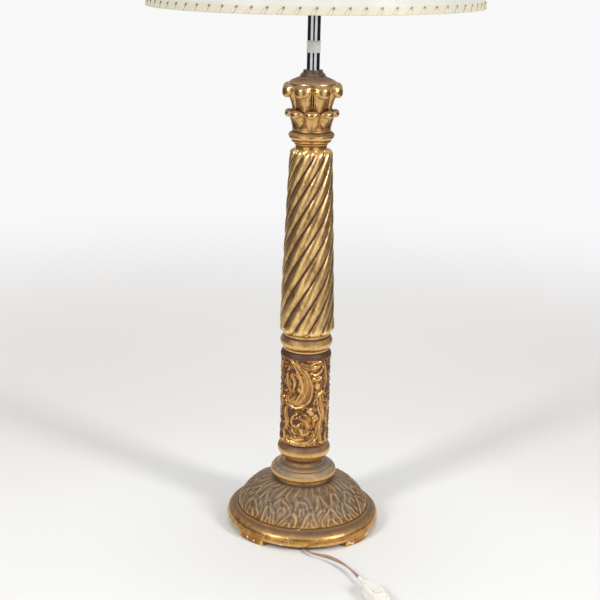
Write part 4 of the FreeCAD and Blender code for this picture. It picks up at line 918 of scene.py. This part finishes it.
def lacing(name, node, edge_z, way):
    """Whip stitches as one endless thong: over one pitch it leans up the outside, goes through its hole,
    down the inside to the next pitch, and under the edge."""
    clear = THONG_T / 2 + 0.15
    out = SKIN_T / 2 + clear
    lean = STITCH_LEAN / SKIN_R / STITCH_STEP
    # share of the pitch, height up the edge, and distance from the middle of the skin
    loop = np.array([
        (-0.02 - lean / 2, -0.55, 0.2), (-lean / 2, 0.2, out), (-lean / 4, STITCH_H * 0.3, out),
        (0.0, STITCH_H * 0.55, out), (lean / 3, STITCH_H * 0.85, out - clear * 0.1), (lean / 2, STITCH_H, 0.1),
        (lean / 2 + 0.06, STITCH_H * 0.92, -out), (0.5, STITCH_H * 0.5, -out), (0.92 - lean / 2, 0.5, -out)])
    share, up, off = np.tile(loop, (STITCH_COUNT, 1)).T
    a = (np.repeat(np.arange(STITCH_COUNT), len(loop)) + share) * STITCH_STEP
    z = edge_z + way * np.maximum(up, 0.0)
    line = wrapped(skin_radius(z) - SKIN_IN + off, a, z + way * 0.5)
    along = unit(np.roll(line, -1, 0) - np.roll(line, 1, 0))
    facing = off[:, None] / out
    side = unit(np.cross(along, wrapped(1.0, a, 0.0) * facing - [0, 0, way] * (1 - np.abs(facing))))
    normal = np.cross(side, along)
    corners = [(-1, 1), (-0.6, 1), (0.6, 1), (1, 1), (1, -1), (0.6, -1), (-0.6, -1), (-1, -1)]
    points = np.stack([line + side * (THONG_W / 2 * x) + normal * (THONG_T / 2 * y * (1 - 0.25 * (abs(x) == 1)))
                       for x, y in corners], 1)
    # painted shade on the thong near its hole
    shade_near_hole = np.exp(-((up - STITCH_H) / 1.6) ** 2)
    return new_piece(name, points * MM, grid_faces(len(line), len(corners)), rawhide, "shade", "thong", node,
                     shade=np.repeat(shade_near_hole, len(corners)))


shade_sheet()
lacing("lacing_bottom_edge", "lacing_bottom", SKIN_LOW, 1)
lacing("lacing_top_edge", "lacing_top", SKIN_TOP, -1)

# ---- flex
CORD_Z = 2.9
SPLIT_Z = 8.5
FRONT_ROUTE = [(0, -64, CORD_Z), (0.8, -92, CORD_Z), (4.5, -119, 3.5), (18, -138, 6.9), (42, -149, 8.9),
               (65, -170, 8.9), (82, -198, SPLIT_Z), (97, -234, SPLIT_Z)]
SWITCH_L = 66.0
COIL_X = 190.0
COIL_Y = -345.0
COIL_START = math.radians(195.0)
COIL_R = 35.0
COIL_TURNS = 3
TURN_POINTS = 24
TURN_STEP = 6.8
LAYER_STEP = 5.4
PLUG_Z = 7.0


def coil_place(turn):
    """Spiral in over three turns, up one layer, and out over three, by one step a turn."""
    inward = min(turn, 2 * COIL_TURNS - turn)
    r = COIL_R + TURN_STEP - TURN_STEP * (inward - 0.25)
    z = CORD_Z + LAYER_STEP * smooth_step((turn - COIL_TURNS + 0.25) / 0.5)
    a = COIL_START + 2 * math.pi * turn
    return Vector((COIL_X + r * math.cos(a), COIL_Y + r * math.sin(a), z))


def coil_way(turn):
    return (coil_place(turn + 1e-4) - coil_place(turn - 1e-4)).normalized()


def rear_route():
    """From the switch's tail into the coil, round its turns, and off it to the plug."""
    nose, before = Vector(FRONT_ROUTE[-1]), Vector(FRONT_ROUTE[-2])
    way = (nose - before).normalized()
    tail = nose + way * SWITCH_L
    coil = [coil_place(k / TURN_POINTS) for k in range(2 * COIL_TURNS * TURN_POINTS + 1)]
    end, leave = coil[-1], coil_way(2 * COIL_TURNS)
    across = Vector((leave.y, -leave.x, 0))
    return [tail, tail + way * 22 - Vector((0, 0, 3)), coil[0] - coil_way(0) * 20] + coil + [
        end + leave * 22, end + leave * 42 + across * 4 - Vector((0, 0, 0.8)),
        end + leave * 62 + across * 12 + Vector((0, 0, PLUG_Z - end.z))]


def spline_points(name, route):
    """Points of the smooth line whose control points are the route, in metres."""
    curve = bpy.data.curves.new(name, "CURVE")
    curve.dimensions = "3D"
    curve.resolution_u = 10
    spline = curve.splines.new("NURBS")
    spline.points.add(len(route) - 1)
    for point, place in zip(spline.points, route):
        point.co = (place[0] * MM, place[1] * MM, place[2] * MM, 1.0)
    spline.order_u = 3
    spline.use_endpoint_u = True
    holder = bpy.data.objects.new(name, curve)
    line = bpy.data.meshes.new_from_object(holder)
    places = np.array([v.co[:] for v in line.vertices])
    bpy.data.objects.remove(holder)
    bpy.data.meshes.remove(line)
    return places


def tube(name, path, x, y, turn, material, slot, *nodes, **values):
    """Closed tube, in metres: a section, x across and y over, carried along a path, turned by an angle."""
    along = unit(np.gradient(path, axis=0))
    flat = unit(np.cross([0, 0, 1.0], along))
    upright = np.cross(along, flat)
    c, s = np.cos(turn)[:, None], np.sin(turn)[:, None]
    across, over = flat * c + upright * s, upright * c - flat * s
    points = path[:, None] + across[:, None] * x[..., None] + over[:, None] * y[..., None]
    faces = [face[1:] + face[:1] for face in capped_faces(*points.shape[:2])]
    return new_piece(name, points, faces, material, "root", slot, *nodes, **values)


def flex(name, line, turn, *nodes):
    """Flat twin flex: an oval 5.6 by 2.9 mm drawn in along its middle."""
    u = circle(20)
    x = FLEX_W / 2 * MM * np.cos(u)
    y = FLEX_T / 2 * MM * np.sin(u) * (1 - 0.3 * np.exp(-(np.cos(u) / 0.22) ** 2))
    run = run_of(line)[:, None]
    return tube(name, line, x, y, turn, flex_gold, "flex_gold", *nodes,
                across=np.cos(u) + 0 * run, along=0 * u + run)


def sleeve(name, line, thick):
    """Tapered strain relief with ribs: its radius falls from `thick` to just over the flex's."""
    share = np.linspace(0, 1, 46)
    run = run_of(line)
    path = np.stack([np.interp(share * SLEEVE_L * MM, run, line[:, k]) for k in range(3)], -1)
    ribs = (np.cos(share * 2 * np.pi * 6) > 0.55) * (share > 0.1) * (share < 0.92)
    radius = (thick + (SLEEVE_END_R - thick) * share - 0.3 * ribs) * MM
    radius = np.minimum(radius, path[:, 2] - 0.00005)[:, None]
    u = circle(24)
    return tube(name, path, radius * np.cos(u), radius * np.sin(u), 0 * share, finish_of["white_plastic"],
                "white_plastic")


front_line = spline_points("front_route", FRONT_ROUTE)
rear_line = spline_points("rear_route", rear_route())
front_left = run_of(front_line[::-1])[::-1]
front_flex = flex("front_flex", front_line, 2 * np.pi * front_left / (FLEX_TURN * MM), "flex_front")
rear_flex = flex("rear_flex", rear_line, 0 * rear_line[:, 0], "flex_tail", "flex_coil", "flex_lead")
nose_sleeve = sleeve("switch_nose_sleeve", front_line[::-1], 3.9)
tail_sleeve = sleeve("switch_tail_sleeve", rear_line, 3.9)
plug_sleeve = sleeve("plug_sleeve", rear_line[::-1], 4.1)


# ---- floor, light and camera, in metres
STUDIO_WHITE = (0.945, 0.94, 0.945, 1.0)
WORLD_GREY = (0.42, 0.42, 0.43, 1.0)
UNLIT = (0.03, 0.026, 0.024, 1.0)
FLOOR_RINGS = (7, 6, 5, 4, 3, 2, 1, 0.5, 0.02)
CURTAIN_R = 4.5
CURTAIN_H = 4.2


def floor_finish():
    """Pale floor with painted shade: greyer in a broad ring about the lamp, most behind it and to the sides,
    that runs out to white.  Reflections see a painted reflection on it: dark past a metre, but for two lit
    sectors, 15 to 57 degrees to each side of the front."""
    net = finish_net("studio_floor")
    distance = net.put("ShaderNodeVectorMath", {0: net.place}, operation="LENGTH").outputs["Value"]
    parts = net.put("ShaderNodeSeparateXYZ", {0: net.place}).outputs
    # painted shade: a soft grey ring about the lamp, most behind it and to the sides
    ring = net.times(net.spread(distance, 0.1, 0.5), net.spread(distance, 1.2, 3.2, 1.0, 0.0))
    behind = net.spread(parts[1], -0.1, 0.5, 0.25, 1.0)
    sides = net.spread(net.size(parts[0]), 0.05, 0.7, 0.55, 1.0)
    base = net.mix(net.times(ring, behind, sides), colour(230, 230, 228), colour(219, 216, 211))
    net.fill(net.shader, {
        "Base Color": net.mix(net.times(net.noise(3.0, 3.0), 0.04), base, colour(200, 196, 190)),
        "Roughness": 0.9, "Specular IOR Level": 0.1})
    # painted reflection: glossy rays see the floor dark past a metre, but for two lit sectors
    glossy = net.put("ShaderNodeLightPath").outputs["Is Glossy Ray"]
    turn = net.size(net.maths("ARCTAN2", parts[0], net.times(parts[1], -1.0)))
    middle = net.spread(turn, math.radians(12), math.radians(17), 1.0, 0.0)
    outer = net.times(net.spread(turn, math.radians(52), math.radians(60)),
                      net.spread(turn, math.radians(140), math.radians(150), 1.0, 0.0))
    unlit = net.times(net.most(middle, outer), net.spread(distance, 0.7, 1.5), glossy)
    glow = net.put("ShaderNodeEmission", {"Color": net.mix(unlit, STUDIO_WHITE, UNLIT)})
    near_dark = net.times(glossy, net.spread(distance, 0.7, 1.3))
    share = net.times(net.seen(), net.most(net.spread(distance, 0.3, 2.5), near_dark))
    both = net.put("ShaderNodeMixShader", {0: share, 1: net.shader.outputs[0], 2: glow.outputs[0]})
    net.fill(net.tree.nodes["Material Output"], {"Surface": both.outputs[0]})
    return net.material


def studio():
    """Round floor as rings of a disc, a white world that gives greyer light, and soft lamps."""
    rings, columns = len(FLOOR_RINGS), 96
    points = wrapped(np.array(FLOOR_RINGS)[:, None], circle(columns), 0.0)
    faces = grid_faces(rings, columns, False) + [list(range((rings - 1) * columns, rings * columns))]
    mesh_object("studio_floor", points, faces, floor_finish())
    world = bpy.data.worlds.new("studio")
    bpy.context.scene.world = world
    world.use_nodes = True
    net = Net(world.node_tree)
    net.fill(net.tree.nodes["Background"], {"Color": net.mix(net.seen(), WORLD_GREY, STUDIO_WHITE)})
    for name, place, aim, size, power in (
            ("left_softbox", (-2.1, -2.1, 2.2), (0, 0, 0.45), (0.5, 1.2), 60.0),
            ("right_softbox", (2.3, -1.7, 1.9), (0, 0, 0.45), (0.5, 1.2), 60.0),
            ("overhead_softbox", (0.0, 0.4, 3.4), (0, 0, 0.4), (1.6, 1.6), 34.0)):
        lamp = bpy.data.lights.new(name, "AREA")
        lamp.shape = "RECTANGLE"
        lamp.size, lamp.size_y = size
        lamp.energy = power
        holder = linked(name, lamp)
        holder.location = place
        holder.rotation_euler = (Vector(aim) - Vector(place)).to_track_quat("-Z", "Y").to_euler()


def dark_flags():
    """Dark curtains on a cylinder about the lamp, behind the camera and at each side, that only
    reflections see, as the unlit parts of a studio."""
    cloth = plain("dark_curtain", (40, 36, 33), (50, 45, 42), 0.95)
    columns = 32
    for name, first, last in (("curtain_front", -105.0, -75.0), ("curtain_left", -230.0, -147.0),
                              ("curtain_right", -33.0, 50.0)):
        a = np.radians(np.linspace(first, last, columns))
        points = wrapped(CURTAIN_R, a, np.array([[0.0], [CURTAIN_H]]))
        faces = [[j, j + 1, columns + j + 1, columns + j] for j in range(columns - 1)]
        flag = mesh_object(name, points, faces, cloth)
        for ray in ("camera", "diffuse", "shadow", "transmission"):
            setattr(flag, "visible_" + ray, False)


def camera():
    """The photograph's camera, fitted to the measured rings of the lamp in a frame of 600 by 600."""
    frame_px = 600.0
    focal_px = 1239.8
    middle_x, middle_y = 237.75, 293.2
    pitch, roll, yaw = 0.27925, 0.008966, -0.058464
    place = (0.0, -1.8858, 0.9275)
    data = bpy.data.cameras.new("photo_camera")
    data.sensor_width = 36.0
    data.lens = data.sensor_width * focal_px / frame_px
    data.shift_x = (frame_px / 2 - middle_x) / frame_px
    data.shift_y = (middle_y - frame_px / 2) / frame_px
    data.clip_start = 0.01
    data.clip_end = 60.0
    holder = linked("photo_camera", data)
    tilt = Matrix.Rotation(math.pi / 2 - pitch, 4, "X") @ Matrix.Rotation(roll, 4, "Z")
    holder.matrix_world = Matrix.Translation(place) @ Matrix.Rotation(-yaw, 4, "Z") @ tilt
    bpy.context.scene.camera = holder


studio()
dark_flags()
camera()
bpy.context.scene.view_settings.view_transform = "Standard"
